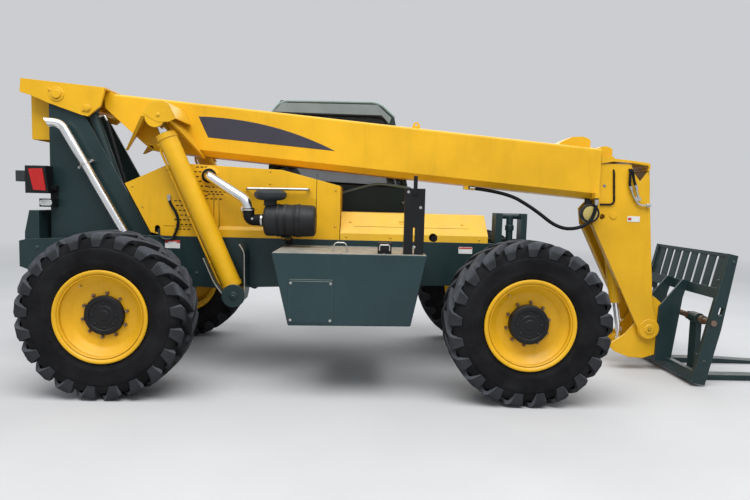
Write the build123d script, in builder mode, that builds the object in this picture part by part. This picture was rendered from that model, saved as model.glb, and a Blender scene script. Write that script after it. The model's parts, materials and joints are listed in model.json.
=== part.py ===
from build123d import *
from math import atan2, cos, degrees, hypot, radians, sin, tan
import os

os.makedirs("parts", exist_ok=True)

# Telehandler with a three-section boom, cab on the left and engine under the boom. Millimetres.
# X runs forward, Y to the machine's left and Z up. Places along X in the tables below are counted
# from the middle of the wheelbase, and mid_x moves them so that the origin is under the middle.

# Wheels and axles
wheelbase = 3150
tyre_radius = 625
tyre_width = 390
tyre_y = 1025
rim_seat_radius = 300
rim_flange_radius = 345
rim_half_width = 165
hub_radius = 140
kingpin_y = 780
kingpin_radius = 25
spindle_radius = 45
spindle_reach = 70
kingpin_reach = 110
axle_tube_radius = 75
trunnion_radius = 60

# Chassis frame
frame_half = 400
frame_top = 1175
frame_bottom = 755
frame_rear = -2600
frame_front = 2020
plate = 20
tower_outer = 270

# Boom and its pivot
pivot_x = -2310
pivot_z = 2355
boom_angle = 4.7
pivot_pin_radius = 45
outer_width = 400
outer_height = 450
outer_top = 70
outer_front = 2440
tube_wall = 10
mid_width = 352
mid_top = 15
mid_bottom = -358
inner_width = 300
inner_top = -60
inner_bottom = -335
mid_start = 800
inner_start = 900
outer_cut = 50
mid_cut = 35
inner_cut = 20
outer_round = 22
mid_round = 14
inner_round = 10
head_gap = 10
yoke_rear = -312
yoke_top = 100
yoke_half = 300
yoke_plate = 25
yoke_foot = 371
cover_half = 100

# Lift cylinders
lift_reach = 100
lift_eye_u = 948
lift_eye_w = -136
lift_foot_x = -740
lift_foot_z = 705
lift_pin_radius = 30
lift_barrel_radius = 80
lift_rod_radius = 45

# Slave cylinder between the tower plates
slave_y = -205
slave_u = 261
slave_w = -88
slave_foot_x = -1700
slave_foot_z = 1215
slave_barrel_radius = 40
slave_rod_radius = 22

# Boom head, quick attach and tilt cylinder
head_half = 168
head_plate = 18
tilt_reach = 535
tilt_z = 402
tilt_pin_radius = 30
tilt_top_reach = 140
tilt_top_z = 1440
tilt_foot_reach = 350
tilt_foot_z = 252
tilt_barrel_radius = 52
tilt_barrel_length = 830
tilt_rod_radius = 28

# Carriage and forks
carriage_half = 600
carriage_lean = 12.5
slat_count = 8
slat_pitch = 140
slat_width = 92
shaft_reach = 865
shaft_z = 555
shaft_radius = 25
fork_thick = 45
fork_width = 110
fork_length = 1220
fork_near_y = -350
fork_far_y = 220

# Hose under the boom
hose_size = 32
hose_start_u = 3620
hose_in_y = -125
hose_out_y = -245
hose_end_x = 2400
hose_end_z = 1592

# Cab
cab_right = 275
cab_left = 1150
cab_rear = -600
cab_front = 820
cab_nose = 770
cab_floor = 800
cab_top = 2455
cab_wall = 40
glass_thick = 6

# Clearances
pin_clearance = 0.05
seat_gap = 0.3
moving_gap = 6

# Places worked out from the sizes above
axle_x = wheelbase / 2
lift_y = frame_half + lift_reach
head_rear = outer_front + head_gap
tilt_x = head_rear + tilt_reach
tilt_top_x = head_rear + tilt_top_reach
tilt_foot_x = head_rear + tilt_foot_reach
shaft_x = head_rear + shaft_reach
cab_notch_y = frame_half + seat_gap
cab_mid_y = (cab_notch_y + cab_left) / 2
fork_tip = shaft_x + fork_thick / 2 + fork_length
rear_end = pivot_x + yoke_rear * cos(radians(boom_angle)) + yoke_top * sin(radians(boom_angle))
mid_x = -(fork_tip + rear_end) / 2
lean = radians(boom_angle)


def boom_point(u, w):
    """A point u along the boom from its pivot and w above it, as (x, z)."""
    return pivot_x + u * cos(lean) + w * sin(lean), pivot_z - u * sin(lean) + w * cos(lean)


def side(y=0.0):
    """The plane of a side view at y: local x forward, local y up, its normal to the right."""
    return Plane(origin=(mid_x, y, 0), x_dir=(1, 0, 0), z_dir=(0, -1, 0))


def boom_side(y=0.0):
    """The side view turned with the boom, with the pivot as its origin."""
    return Plane(
        origin=(mid_x + pivot_x, y, pivot_z), x_dir=(cos(lean), 0, -sin(lean)), z_dir=(0, -1, 0)
    )


def section(u):
    """The plane across the boom at u: local x to the left, local y up across it."""
    x, z = boom_point(u, 0)
    return Plane(origin=(mid_x + x, 0, z), x_dir=(0, 1, 0), z_dir=(cos(lean), 0, -sin(lean)))


def tube_section(u, width, top, bottom, cut, rounding):
    """A boom section at u: flat top with rounded corners, bottom corners cut off."""
    half = width / 2
    with BuildSketch(section(u)) as face:
        Polygon(
            (-half, top), (half, top), (half, bottom + cut), (half - cut, bottom),
            (cut - half, bottom), (-half, bottom + cut), align=None,
        )
        fillet(face.vertices().group_by(Axis.Y)[-1], rounding)
    return face.sketch


def from_head(points):
    """Points given from the rear edge of the boom head, moved to their place."""
    return [(head_rear + x, z) for x, z in points]


def across(x, z=0.0):
    """The plane of a front view at x: local x to the left, local y up, its normal forward."""
    return Plane(origin=(mid_x + x, 0, z), x_dir=(0, 1, 0), z_dir=(1, 0, 0))


def plan(z):
    """The plane of a top view at z: local x forward, local y to the left."""
    return Plane(origin=(mid_x, 0, z), x_dir=(1, 0, 0), z_dir=(0, 0, 1))


def along(x, z, x2, z2, y):
    """A plane at (x, z) whose normal points to (x2, z2), for a cylinder seen in the side view."""
    reach = hypot(x2 - x, z2 - z)
    return Plane(
        origin=(mid_x + x, y, z), x_dir=(0, 1, 0), z_dir=((x2 - x) / reach, 0, (z2 - z) / reach)
    )


def write(builder, label):
    builder.part.label = label
    export_step(builder.part, f"parts/{label}.step")


# Wheels, hubs and steering knuckles, one set for each corner
corners = [  # name, axle side along X, side along Y, how far the hub stands out of the disc
    ("front_left", 1, 1, 150),
    ("front_right", 1, -1, 150),
    ("rear_left", -1, 1, 95),
    ("rear_right", -1, -1, 95),
]
tread_half = tyre_width / 2 - 12
for name, end, hand, hub_reach in corners:
    wheel_plane = Plane(
        origin=(mid_x + end * axle_x, hand * tyre_y, tyre_radius), x_dir=(0, hand, 0), z_dir=(1, 0, 0)
    )
    wheel_axis = Axis(origin=wheel_plane.origin, direction=(0, 1, 0))
    up = 1 if wheel_plane.y_dir.Z > 0 else -1
    with BuildPart() as tyre:
        with BuildSketch(wheel_plane):
            with BuildLine():
                bead = Polyline(
                    (-rim_half_width + 4, up * (rim_seat_radius + seat_gap)),
                    (rim_half_width - 4, up * (rim_seat_radius + seat_gap)),
                    (rim_half_width - 4, up * (rim_flange_radius + 10)),
                )
                ThreePointArc(
                    (rim_half_width - 4, up * (rim_flange_radius + 10)),
                    (tyre_width / 2, up * 490),
                    (tread_half, up * (tyre_radius - 25)),
                )
                Line((tread_half, up * (tyre_radius - 25)), (tread_half - 20, up * (tyre_radius - 4)))
                ThreePointArc(
                    (tread_half - 20, up * (tyre_radius - 4)),
                    (0, up * tyre_radius),
                    (-tread_half + 20, up * (tyre_radius - 4)),
                )
                Line((-tread_half + 20, up * (tyre_radius - 4)), (-tread_half, up * (tyre_radius - 25)))
                ThreePointArc(
                    (-tread_half, up * (tyre_radius - 25)),
                    (-tyre_width / 2, up * 490),
                    (-rim_half_width + 4, up * (rim_flange_radius + 10)),
                )
                Line((-rim_half_width + 4, up * (rim_flange_radius + 10)), bead @ 0)
            make_face()
        revolve(axis=wheel_axis)
    write(tyre, f"tyre_{name}")

    with BuildPart() as rim:
        with BuildSketch(wheel_plane):
            with BuildLine():
                Polyline(
                    (rim_half_width + 12, up * rim_flange_radius),
                    (rim_half_width - 2, up * rim_flange_radius),
                    (rim_half_width - 2, up * rim_seat_radius),
                    (-rim_half_width + 2, up * rim_seat_radius),
                    (-rim_half_width + 2, up * rim_flange_radius),
                    (-rim_half_width - 12, up * rim_flange_radius),
                    (-rim_half_width - 12, up * (rim_flange_radius - 25)),
                    (-rim_half_width + 10, up * 282),
                    (-8, up * 282),
                    (-8, 0),
                    (hub_reach, 0),
                    (hub_reach, up * (hub_radius - 15)),
                    (hub_reach - 15, up * hub_radius),
                    (10, up * hub_radius),
                    (10, up * 235),
                    (60, up * 275),
                    (rim_half_width - 10, up * 282),
                    (rim_half_width + 12, up * (rim_flange_radius - 25)),
                    close=True,
                )
            make_face()
        revolve(axis=wheel_axis)
        with BuildSketch(Plane(origin=wheel_plane.origin, z_dir=(0, hand, 0)).offset(-20)):
            Circle(spindle_radius + pin_clearance)
        extrude(amount=20 + spindle_reach, mode=Mode.SUBTRACT)
    write(rim, f"rim_{name}")

    knuckle_centre = (mid_x + end * axle_x, hand * kingpin_y, tyre_radius)
    with BuildPart() as knuckle:
        with BuildSketch(Plane(origin=knuckle_centre, z_dir=(0, 0, 1))):
            Circle(58)
        extrude(amount=kingpin_reach - moving_gap, both=True)
        with BuildSketch(Plane(origin=knuckle_centre, z_dir=(0, 0, 1))):
            Circle(kingpin_radius)
        extrude(amount=kingpin_reach + 40, both=True)
        with BuildSketch(Plane(origin=knuckle_centre, z_dir=(0, hand, 0))):
            Circle(95)
        extrude(amount=tyre_y - kingpin_y - 8 - moving_gap)
        with BuildSketch(Plane(origin=knuckle_centre, z_dir=(0, hand, 0))):
            Circle(spindle_radius)
        extrude(amount=tyre_y - kingpin_y + spindle_reach - moving_gap)
        with BuildSketch(
            Plane(origin=knuckle_centre, x_dir=(1, 0, 0), z_dir=(0, 0, 1)).offset(-50)
        ):
            with BuildLine():
                Polyline(
                    (-end * 20, -hand * 25),
                    (-end * 215, -hand * 60),
                    (-end * 250, -hand * 30),
                    (-end * 220, hand * 5),
                    (-end * 20, hand * 40),
                    close=True,
                )
            make_face()
        extrude(amount=30)
    write(knuckle, f"knuckle_{name}")

# Axles: a differential, two tubes with a forked end for each knuckle, and the trunnions they rock on
trunnion_reach = 330
yoke_arm_top = kingpin_reach + 35
for name, end in (("front", 1), ("rear", -1)):
    centre = (mid_x + end * axle_x, 0, tyre_radius)
    with BuildPart() as axle:
        with BuildSketch(Plane(origin=centre, x_dir=(0, 1, 0), z_dir=(1, 0, 0))):
            with BuildLine():
                Polyline(
                    (-660, 0), (-660, axle_tube_radius), (-230, axle_tube_radius), (-120, 165),
                    (120, 165), (230, axle_tube_radius), (660, axle_tube_radius), (660, 0), close=True,
                )
            make_face()
        revolve(axis=Axis(origin=centre, direction=(0, 1, 0)))
        with BuildSketch(Plane(origin=centre, x_dir=(0, 1, 0), z_dir=(1, 0, 0)).offset(-50)):
            for hand in (-1, 1):
                with BuildLine():
                    Polyline(
                        (hand * 640, -yoke_arm_top),
                        (hand * 835, -yoke_arm_top),
                        (hand * 835, -kingpin_reach),
                        (hand * 700, -kingpin_reach),
                        (hand * 700, kingpin_reach),
                        (hand * 835, kingpin_reach),
                        (hand * 835, yoke_arm_top),
                        (hand * 640, yoke_arm_top),
                        close=True,
                    )
                make_face()
        extrude(amount=100)
        with Locations(*[(mid_x + end * axle_x, hand * kingpin_y, tyre_radius) for hand in (-1, 1)]):
            Cylinder(kingpin_radius + pin_clearance, 2 * yoke_arm_top + 20, mode=Mode.SUBTRACT)
            Cylinder(66, 2 * kingpin_reach, mode=Mode.SUBTRACT)
        with BuildSketch(Plane(origin=centre, z_dir=(1, 0, 0))):
            Circle(trunnion_radius)
        extrude(amount=trunnion_reach, both=True)
        ram_x = mid_x + end * (axle_x - 210)
        with BuildSketch(Plane(origin=(ram_x, 0, tyre_radius - 35), z_dir=(0, 1, 0))):
            Circle(38)
        extrude(amount=230, both=True)
        with BuildSketch(Plane(origin=(ram_x, 0, tyre_radius - 35), z_dir=(0, 1, 0))):
            Circle(20 + pin_clearance)
        extrude(amount=240, both=True, mode=Mode.SUBTRACT)
        with Locations(
            *[(mid_x + end * (axle_x - 130), hand * 180, tyre_radius - 35) for hand in (-1, 1)]
        ):
            Box(100, 30, 50)
    write(axle, f"axle_{name}")
    with BuildPart() as steer_rod:
        with BuildSketch(Plane(origin=(ram_x, 0, tyre_radius - 35), z_dir=(0, 1, 0))):
            Circle(20)
        extrude(amount=700, both=True)
    write(steer_rod, f"steer_rod_{name}")

# Chassis frame: two side plates, belly, cross plates that carry the axle trunnions, and the lift ears
side_outline = [
    (frame_rear, 1105), (frame_rear, 885), (-2400, frame_bottom + 60), (-1250, frame_bottom),
    (-950, frame_bottom - 20), (-450, frame_bottom), (1100, frame_bottom + 45), (1400, 830),
    (frame_front - 60, 830), (frame_front, 900), (frame_front, 1120), (frame_front - 60, frame_top),
    (1430, frame_top), (-1560, frame_top), (-2540, 1120),
]
tower_outline = [
    (-2395, 830), (-2395, 2250), (-2385, 2355), (-2235, 2355), (-2080, 2160), (-1545, 1195),
    (-1400, 830),
]
ear_outline = [
    (-1020, 1100), (-1025, 955), (-945, 790), (-840, 690), (-790, 640), (-700, 640),
    (-660, 700), (-655, 1000), (-700, 1100),
]
ear_radius = 95
with BuildPart() as frame:
    for hand in (-1, 1):
        with BuildSketch(side(hand * (frame_half - plate / 2))):
            Polygon(*side_outline, align=None)
        extrude(amount=plate / 2, both=True)
        with BuildSketch(side(hand * (frame_half - plate / 2))):
            Polygon(*ear_outline, align=None)
        extrude(amount=plate / 2, both=True)
    for x, low, high in (  # cross plates: place, bottom, top
        (-axle_x - 300, 480, 1100), (-axle_x + 300, 480, 1100),
        (axle_x - 300, 480, 1150), (axle_x + 300, 480, 1150),
    ):
        with BuildSketch(across(x)):
            with Locations((0, (frame_bottom + high) / 2)):
                Rectangle(2 * (frame_half - plate), high - frame_bottom)
            with Locations((0, (low + frame_bottom) / 2)):
                Rectangle(300, frame_bottom - low)
            with Locations((0, tyre_radius)):
                Circle(trunnion_radius + pin_clearance, mode=Mode.SUBTRACT)
        extrude(amount=15, both=True)
    with BuildSketch(plan(frame_bottom + 45)):
        with Locations((0, 0)):
            Rectangle(2 * (axle_x - 315), 2 * (frame_half - plate))
    extrude(amount=12)
    with BuildSketch(across(frame_rear + 15)):
        with Locations((0, 995)):
            Rectangle(2 * (frame_half - plate), 220)
    extrude(amount=15, both=True)
    for hand in (-1, 1):
        with BuildSketch(side(hand * (tower_outer - plate / 2))):
            Polygon(*tower_outline, align=None)
        extrude(amount=plate / 2, both=True, mode=Mode.SUBTRACT)
write(frame, "frame")

# Brackets that hold the lift cylinders' feet: a curved web out from the frame and an outer plate
bracket_reach = lift_reach + 120
for name, hand in (("left", 1), ("right", -1)):
    with BuildPart() as bracket:
        with BuildSketch(side(hand * (frame_half + bracket_reach - plate / 2))):
            with Locations((lift_foot_x, lift_foot_z)):
                Circle(ear_radius)
                Polygon((-ear_radius, 0), (ear_radius, 0), (60, 75), (-85, 10), align=None)
        extrude(amount=plate / 2, both=True)
        with BuildSketch(side(hand * (frame_half + bracket_reach / 2))):
            with Locations((lift_foot_x, lift_foot_z)):
                Circle(ear_radius)
                Circle(ear_radius - 20, mode=Mode.SUBTRACT)
                Polygon(
                    (-150, -8), (-150, 200), (150, 200), (150, -150), (8, -150), (8, 0), align=None,
                    mode=Mode.SUBTRACT,
                )
        extrude(amount=bracket_reach / 2, both=True)
    write(bracket, f"lift_bracket_{name}")

# Sway cylinder at the front: two feet on the frame's right plate, a cross tube and the cylinder
sway_x = 1614
sway_y = -(frame_half - 100)
with BuildPart() as sway:
    for x, wide in ((-118, 60), (101, 50)):
        with Locations((mid_x + sway_x + x, sway_y - 30, (frame_top + seat_gap + 1440) / 2)):
            Box(wide, 140, 1440 - frame_top - seat_gap)
    with BuildSketch(across(sway_x - 140)):
        with Locations((sway_y, 1415)):
            Circle(25)
    extrude(amount=260)
    with BuildSketch(plan(870)):
        with Locations((sway_x, sway_y)):
            Circle(30)
    extrude(amount=550)
    with BuildSketch(plan(1290)):
        with Locations((sway_x, sway_y)):
            Circle(38)
    extrude(amount=45)
write(sway, "sway_cylinder")

with BuildPart() as rear_weight:
    with BuildSketch(side()):
        Polygon(
            (frame_rear + 31, 900), (-2440, 900), (-2440, 1365), (-2520, 1365), (-2560, 1180),
            align=None,
        )
    extrude(amount=frame_half - plate - seat_gap, both=True)
write(rear_weight, "rear_weight")

# Boom tower: two plates that stand in the frame and hold the pivot pin
with BuildPart() as tower:
    for hand in (-1, 1):
        with BuildSketch(side(hand * (tower_outer - plate / 2))):
            Polygon(*tower_outline, align=None)
            with Locations((pivot_x, pivot_z)):
                Circle(75)
                Circle(pivot_pin_radius + pin_clearance, mode=Mode.SUBTRACT)
            with Locations((slave_foot_x, slave_foot_z)):
                Circle(30)
        extrude(amount=plate / 2, both=True)
    for x, z, tall in ((-2370, 1100, 400), (-1540, 965, 270)):
        with Locations((mid_x + x, 0, z)):
            Box(30, 2 * (tower_outer - plate), tall)
write(tower, "boom_tower")

# Engine and what stands around it
exhaust_y = (tower_outer + frame_half) / 2 + 20
hood_left = 260
hood_y = (hood_left - frame_half) / 2
hood_half = (hood_left + frame_half) / 2
hood_wall = 8
recess_x = -914
recess_length = 834
cleaner_y = -(frame_half + 220)
with BuildPart() as engine:
    with Locations((mid_x - 700, -40, frame_bottom + 57 + seat_gap + 280)):
        Box(1100, 560, 560)
write(engine, "engine_block")

hood_outline = [
    (-1385, frame_top + seat_gap), (-1490, 1205), (-1705, 1612), (-1357, 1774), (-1150, 1790), (-375, 1760),
    (120, 1637), (120, frame_top + seat_gap),
]
with BuildPart() as hood:
    with BuildSketch(side(hood_y)):
        Polygon(*hood_outline, align=None)
    extrude(amount=hood_half, both=True)
    with BuildSketch(side(hood_y)):
        Polygon(*hood_outline, align=None)
        offset(amount=-hood_wall, mode=Mode.REPLACE)
    extrude(amount=hood_half - hood_wall, both=True, mode=Mode.SUBTRACT)
    with Locations((mid_x - 640, hood_y, frame_top)):
        Box(1480, 2 * (hood_half - hood_wall), 40, mode=Mode.SUBTRACT)
    with BuildSketch(across(recess_x)):
        with Locations((-frame_half + hood_wall + 15, 1380)):
            Rectangle(32, 320)
    extrude(amount=recess_length)
    with BuildSketch(across(recess_x)):
        Polygon(
            (-frame_half - 1, 1525), (-frame_half, 1525), (-frame_half + 25, 1268),
            (-frame_half, 1240), (-frame_half - 1, 1240), align=None,
        )
    extrude(amount=recess_length, mode=Mode.SUBTRACT)
    with BuildSketch(side(-frame_half - 1)):
        with Locations((-1432, 1200)):
            SlotOverall(130, 46, rotation=90)
    extrude(amount=-hood_wall - 2, mode=Mode.SUBTRACT)
write(hood, "engine_hood")

with BuildPart() as air_cleaner:
    with BuildSketch(Plane(origin=(mid_x - 495, cleaner_y, 1340), z_dir=(1, 0, 0))):
        Circle(130)
    extrude(amount=430)
    with BuildSketch(plan(1455)):
        with Locations((-440, cleaner_y)):
            Circle(52)
    extrude(amount=55)
    with BuildSketch(plan(1510)):
        with Locations((-440, cleaner_y)):
            Circle(130)
    extrude(amount=75, taper=12)
    with BuildSketch(across(-320)):
        with Locations((-frame_half - seat_gap - 10, 1171)):
            Rectangle(20, 86)
        with Locations(((cleaner_y - frame_half) / 2 - 10, 1206)):
            Rectangle(-cleaner_y - frame_half + 20, 16)
    extrude(amount=40, both=True)
write(air_cleaner, "air_cleaner")

with BuildPart() as intake_pipe:
    with BuildLine():
        FilletPolyline(
            (mid_x - 815, -frame_half - seat_gap, 1625),
            (mid_x - 815, cleaner_y + 100, 1625),
            (mid_x - 615, cleaner_y, 1500),
            (mid_x - 615, cleaner_y, 1340),
            (mid_x - 495 - seat_gap, cleaner_y, 1340),
            radius=50,
        )
    with BuildSketch(Plane(origin=(mid_x - 815, -frame_half - seat_gap, 1625), z_dir=(0, -1, 0))):
        Circle(38)
    sweep()
write(intake_pipe, "intake_pipe")

with BuildPart() as exhaust:
    with BuildLine():
        FilletPolyline(
            (mid_x - 1640, -exhaust_y + 20, 1100),
            (mid_x - 1700, -exhaust_y + 20, 1200),
            (mid_x - 2215, -exhaust_y, 2105),
            (mid_x - 2345, -exhaust_y, 2120),
            radius=80,
        )
    with BuildSketch(
        Plane(origin=(mid_x - 1640, -exhaust_y + 20, 1100), x_dir=(0, 1, 0), z_dir=(-60, 0, 100))
    ):
        Circle(38)
        Circle(34, mode=Mode.SUBTRACT)
    sweep()
    with Locations((mid_x - 2010, -tower_outer - seat_gap - 25, 1745)):
        Box(40, 50, 90)
write(exhaust, "exhaust_pipe")

# Front deck over the valves, side tank and folded mirror
deck_base = frame_top + seat_gap
deck_outline = [
    (-frame_half, deck_base), (-frame_half, 1235), (-200, 1412), (200, 1412), (hood_left, 1360),
    (hood_left, deck_base),
]
with BuildPart() as deck:
    with BuildSketch(across(126)):
        Polygon(*deck_outline, align=None)
    extrude(amount=1280)
    with BuildSketch(across(132)):
        Polygon(*deck_outline, align=None)
        offset(amount=-6, mode=Mode.REPLACE)
    extrude(amount=1268, mode=Mode.SUBTRACT)
    with Locations((mid_x + 766, hood_y, frame_top)):
        Box(1268, 2 * (hood_half - 6), 40, mode=Mode.SUBTRACT)
    with Locations((mid_x + 929, -frame_half, 1214)):
        with Locations(Rotation(90, 0, 0)):
            Cylinder(36, 40, mode=Mode.SUBTRACT)
write(deck, "front_deck")

tank_outer = 1120
with BuildPart() as tank:
    with BuildSketch(side(-frame_half - seat_gap)):
        Polygon((-355, 1122), (802, 1125), (691, 585), (-226, 575), align=None)
        fillet(vertices(), 12)
    extrude(amount=tank_outer - frame_half)
    fillet(edges().filter_by(Plane.XZ).group_by(Axis.Y)[0], 10)
write(tank, "side_tank")

with BuildPart() as mirror_post:
    with Locations((mid_x + 700, 70 - tank_outer, 1125 + seat_gap + 246)):
        Box(150, 60, 492)
        with Locations((0, 0, -146)):
            Box(16, 60, 200, mode=Mode.SUBTRACT)
write(mirror_post, "mirror_post")

with BuildPart() as tail_lamps:
    for hand in (-1, 1):
        with Locations((mid_x - 2435, hand * (tower_outer + 100), 1625)):
            Box(170, 120, 230)
        with Locations((mid_x - 2370, hand * (tower_outer + seat_gap + 30), 1560)):
            Box(100, 60, 40)
        with Locations((mid_x - 2360, hand * (tower_outer + seat_gap + 5), 1480)):
            Box(60, 10, 180)
        with Locations((mid_x - 2381, hand * (tower_outer + seat_gap + 55), 1431)):
            Box(110, 100, 70)
write(tail_lamps, "tail_lamps")

# Outer boom: yoke over the tower, tube, lift brackets and their pins
outer_bottom = outer_top - outer_height
front_u = (outer_front - pivot_x) / cos(lean)
tent_root = [(570, -405), (800, 30), (930, 30), (1270, -405)]
tent_cap = [(840, -135), (925, -25), (1010, -30), (1073, -140)]
tent_cap_y = lift_y + 115
tent_plate = 15


def inside(outline):
    """The hollow under a bracket: its outline inset by the plate and run out below."""
    low_left, top_left, top_right, low_right = outline
    top_a = (top_left[0] + tent_plate, top_left[1] - tent_plate)
    top_b = (top_right[0] - tent_plate, top_right[1] - tent_plate)
    run = 1.25
    return [
        (top_a[0] + run * (low_left[0] - top_left[0]), top_a[1] + run * (low_left[1] - top_left[1])),
        top_a,
        top_b,
        (top_b[0] + run * (low_right[0] - top_right[0]), top_b[1] + run * (low_right[1] - top_right[1])),
    ]


wall_corner = tube_wall * (2 - 2 ** 0.5)


def tube_top(x):
    """Height of the middle of the outer tube's top wall at x."""
    return pivot_z + (outer_top - tube_wall / 2) / cos(lean) - (x - pivot_x) * tan(lean)



def hollow(u, width, top, bottom, cut):
    """The hollow of a boom section at u, one wall inside its outer faces."""
    return tube_section(
        u, width - 2 * tube_wall, top - tube_wall, bottom + tube_wall, cut - wall_corner, 4
    )


taper = (yoke_foot - 790) / (-61 - outer_bottom)
with BuildPart() as boom_tube:
    extrude(
        tube_section(yoke_foot, outer_width, outer_top, outer_bottom, outer_cut, outer_round),
        amount=front_u,
    )
    with BuildSketch(boom_side()):
        Polygon(
            (yoke_foot, 300), (2 * front_u, 300), (2 * front_u, outer_bottom - 200),
            (790 - 200 * taper, outer_bottom - 200), (yoke_foot, -61), align=None,
        )
    extrude(amount=outer_width, both=True, mode=Mode.INTERSECT)
    extrude(
        hollow(799, outer_width, outer_top, outer_bottom, outer_cut), amount=front_u,
        mode=Mode.SUBTRACT,
    )
    with BuildSketch(boom_side()):
        Polygon(
            (395, outer_top - tube_wall), (800, outer_top - tube_wall), (800, outer_bottom + tube_wall),
            (395, -61), align=None,
        )
    extrude(amount=outer_width / 2 - tube_wall, both=True, mode=Mode.SUBTRACT)

with BuildPart() as outer_boom:
    add(boom_tube.part)
    for hand in (-1, 1):
        with BuildSketch(boom_side(hand * yoke_half)):
            Polygon(
                (yoke_rear, yoke_top), (yoke_rear, -16), (-222, -33), (-70, -81), (218, -152),
                (271, -158), (yoke_foot, -61), (400, yoke_top), align=None,
            )
        extrude(amount=-hand * -yoke_plate)
    with BuildSketch(boom_side()):
        Polygon(
            (yoke_rear, yoke_top), (400, yoke_top), (400, yoke_top - 15), (yoke_rear, yoke_top - 15),
            align=None,
        )
    extrude(amount=yoke_half, both=True)
    with BuildSketch(boom_side()):
        Polygon(
            (340, yoke_top), (440, outer_top), (440, outer_top - tube_wall), (yoke_foot + 24, -61),
            (yoke_foot, -61), align=None,
        )
    extrude(amount=outer_width / 2, both=True)
    with BuildSketch(side()):
        Polygon(
            (outer_front, 0), (4 * outer_front, 0), (4 * outer_front, 2600), (outer_front, 2600),
            align=None,
        )
    extrude(amount=outer_width, both=True, mode=Mode.SUBTRACT)
    with BuildSketch(side()):
        Polygon(
            (outer_front - 375, tube_top(outer_front - 375)), (outer_front - 330, 2100),
            (outer_front - 235, 2144), (outer_front - 140, 2150), (outer_front - 92, 2136),
            (outer_front - 66, 2115), (outer_front - 66, tube_top(outer_front - 66)), align=None,
        )
    extrude(amount=cover_half, both=True)
    with BuildSketch(side(-outer_width / 2 + 60)):
        Polygon((735, 2175), (755, 2222), (782, 2230), (806, 2212), (815, 2170), align=None)
        with Locations((778, 2204)):
            Circle(11, mode=Mode.SUBTRACT)
    extrude(amount=6, both=True)
    with BuildSketch(boom_side(hose_in_y)):
        Polygon(
            (hose_start_u - 40, outer_bottom + 5), (hose_start_u, outer_bottom + 5),
            (hose_start_u, outer_bottom - 40), (hose_start_u - 40, outer_bottom - 40), align=None,
        )
    extrude(amount=25, both=True)
    with Locations((mid_x + hose_end_x, hose_out_y + 20, hose_end_z + seat_gap + 25)):
        Box(44, 84, 50)
    for hand in (-1, 1):
        with BuildSketch(boom_side(hand * outer_width / 2)):
            Polygon(*tent_root, align=None)
        with BuildSketch(boom_side(hand * tent_cap_y)):
            Polygon(*tent_cap, align=None)
        loft()
        with BuildSketch(boom_side(hand * outer_width / 2)):
            Polygon(*inside(tent_root), align=None)
        with BuildSketch(boom_side(hand * (tent_cap_y - 25))):
            Polygon(*inside(tent_cap), align=None)
        loft(mode=Mode.SUBTRACT)
        with BuildSketch(boom_side(hand * (tent_cap_y - 12.5))):
            with Locations((lift_eye_u, lift_eye_w)):
                Circle(78)
        extrude(amount=12.5, both=True)
        with BuildSketch(boom_side(hand * (outer_width / 2 - 5))):
            with Locations((lift_eye_u, lift_eye_w)):
                Circle(lift_pin_radius)
        extrude(amount=-hand * (tent_cap_y - outer_width / 2 + 5))
    with BuildSketch(boom_side()):
        Circle(pivot_pin_radius)
    extrude(amount=yoke_half + 12, both=True)
    with BuildSketch(boom_side()):
        with Locations((slave_u, slave_w)):
            Circle(25)
    extrude(amount=yoke_half + 8, both=True)
    with BuildSketch(side()):
        Polygon((-2605, 2460), (-2605, 1980), (-2450, 1980), (-2450, 2455), align=None)
    extrude(amount=155, both=True)
    with BuildSketch(side()):
        Polygon((-2597, 2440), (-2597, 1900), (-2400, 1900), (-2400, 2435), align=None)
    extrude(amount=147, both=True, mode=Mode.SUBTRACT)
write(outer_boom, "boom_outer")

# Sliding sections, each a rectangular tube inside the last, with wear pads at its rear end


def pads(start, width, top, bottom, around_width, around_top, around_bottom):
    """Wear pads above, below and beside a section, up to the inside of the tube around it."""
    for low, high in ((top, around_top - tube_wall), (around_bottom + tube_wall, bottom)):
        low_gap, high_gap = (0, pin_clearance) if low == top else (pin_clearance, 0)
        with BuildSketch(boom_side()) as pad:
            with Locations((start + 75, (low + low_gap + high - high_gap) / 2)):
                Rectangle(150, high - high_gap - low - low_gap)
        extrude(pad.sketch, amount=width / 2 - 50, both=True)
    reach = (around_width - width) / 2 - tube_wall - pin_clearance
    for hand in (-1, 1):
        with BuildSketch(boom_side(hand * (width + reach) / 2)) as pad:
            with Locations((start + 75, (top + bottom) / 2)):
                Rectangle(150, 160)
        extrude(pad.sketch, amount=reach / 2, both=True)


with BuildPart() as mid_boom:
    extrude(
        tube_section(mid_start, mid_width, mid_top, mid_bottom, mid_cut, mid_round),
        amount=front_u + 8 - mid_start,
    )
    extrude(
        hollow(mid_start - 1, mid_width, mid_top, mid_bottom, mid_cut), amount=front_u,
        mode=Mode.SUBTRACT,
    )
    pads(mid_start + 100, mid_width, mid_top, mid_bottom, outer_width, outer_top, outer_bottom)
write(mid_boom, "boom_mid")

inner_end = front_u + 210
with BuildPart() as inner_boom:
    extrude(
        tube_section(inner_start, inner_width, inner_top, inner_bottom, inner_cut, inner_round),
        amount=inner_end - inner_start,
    )
    extrude(
        hollow(inner_start - 1, inner_width, inner_top, inner_bottom, inner_cut), amount=inner_end,
        mode=Mode.SUBTRACT,
    )
    pads(inner_start + 100, inner_width, inner_top, inner_bottom, mid_width, mid_top, mid_bottom)
write(inner_boom, "boom_inner")

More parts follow.
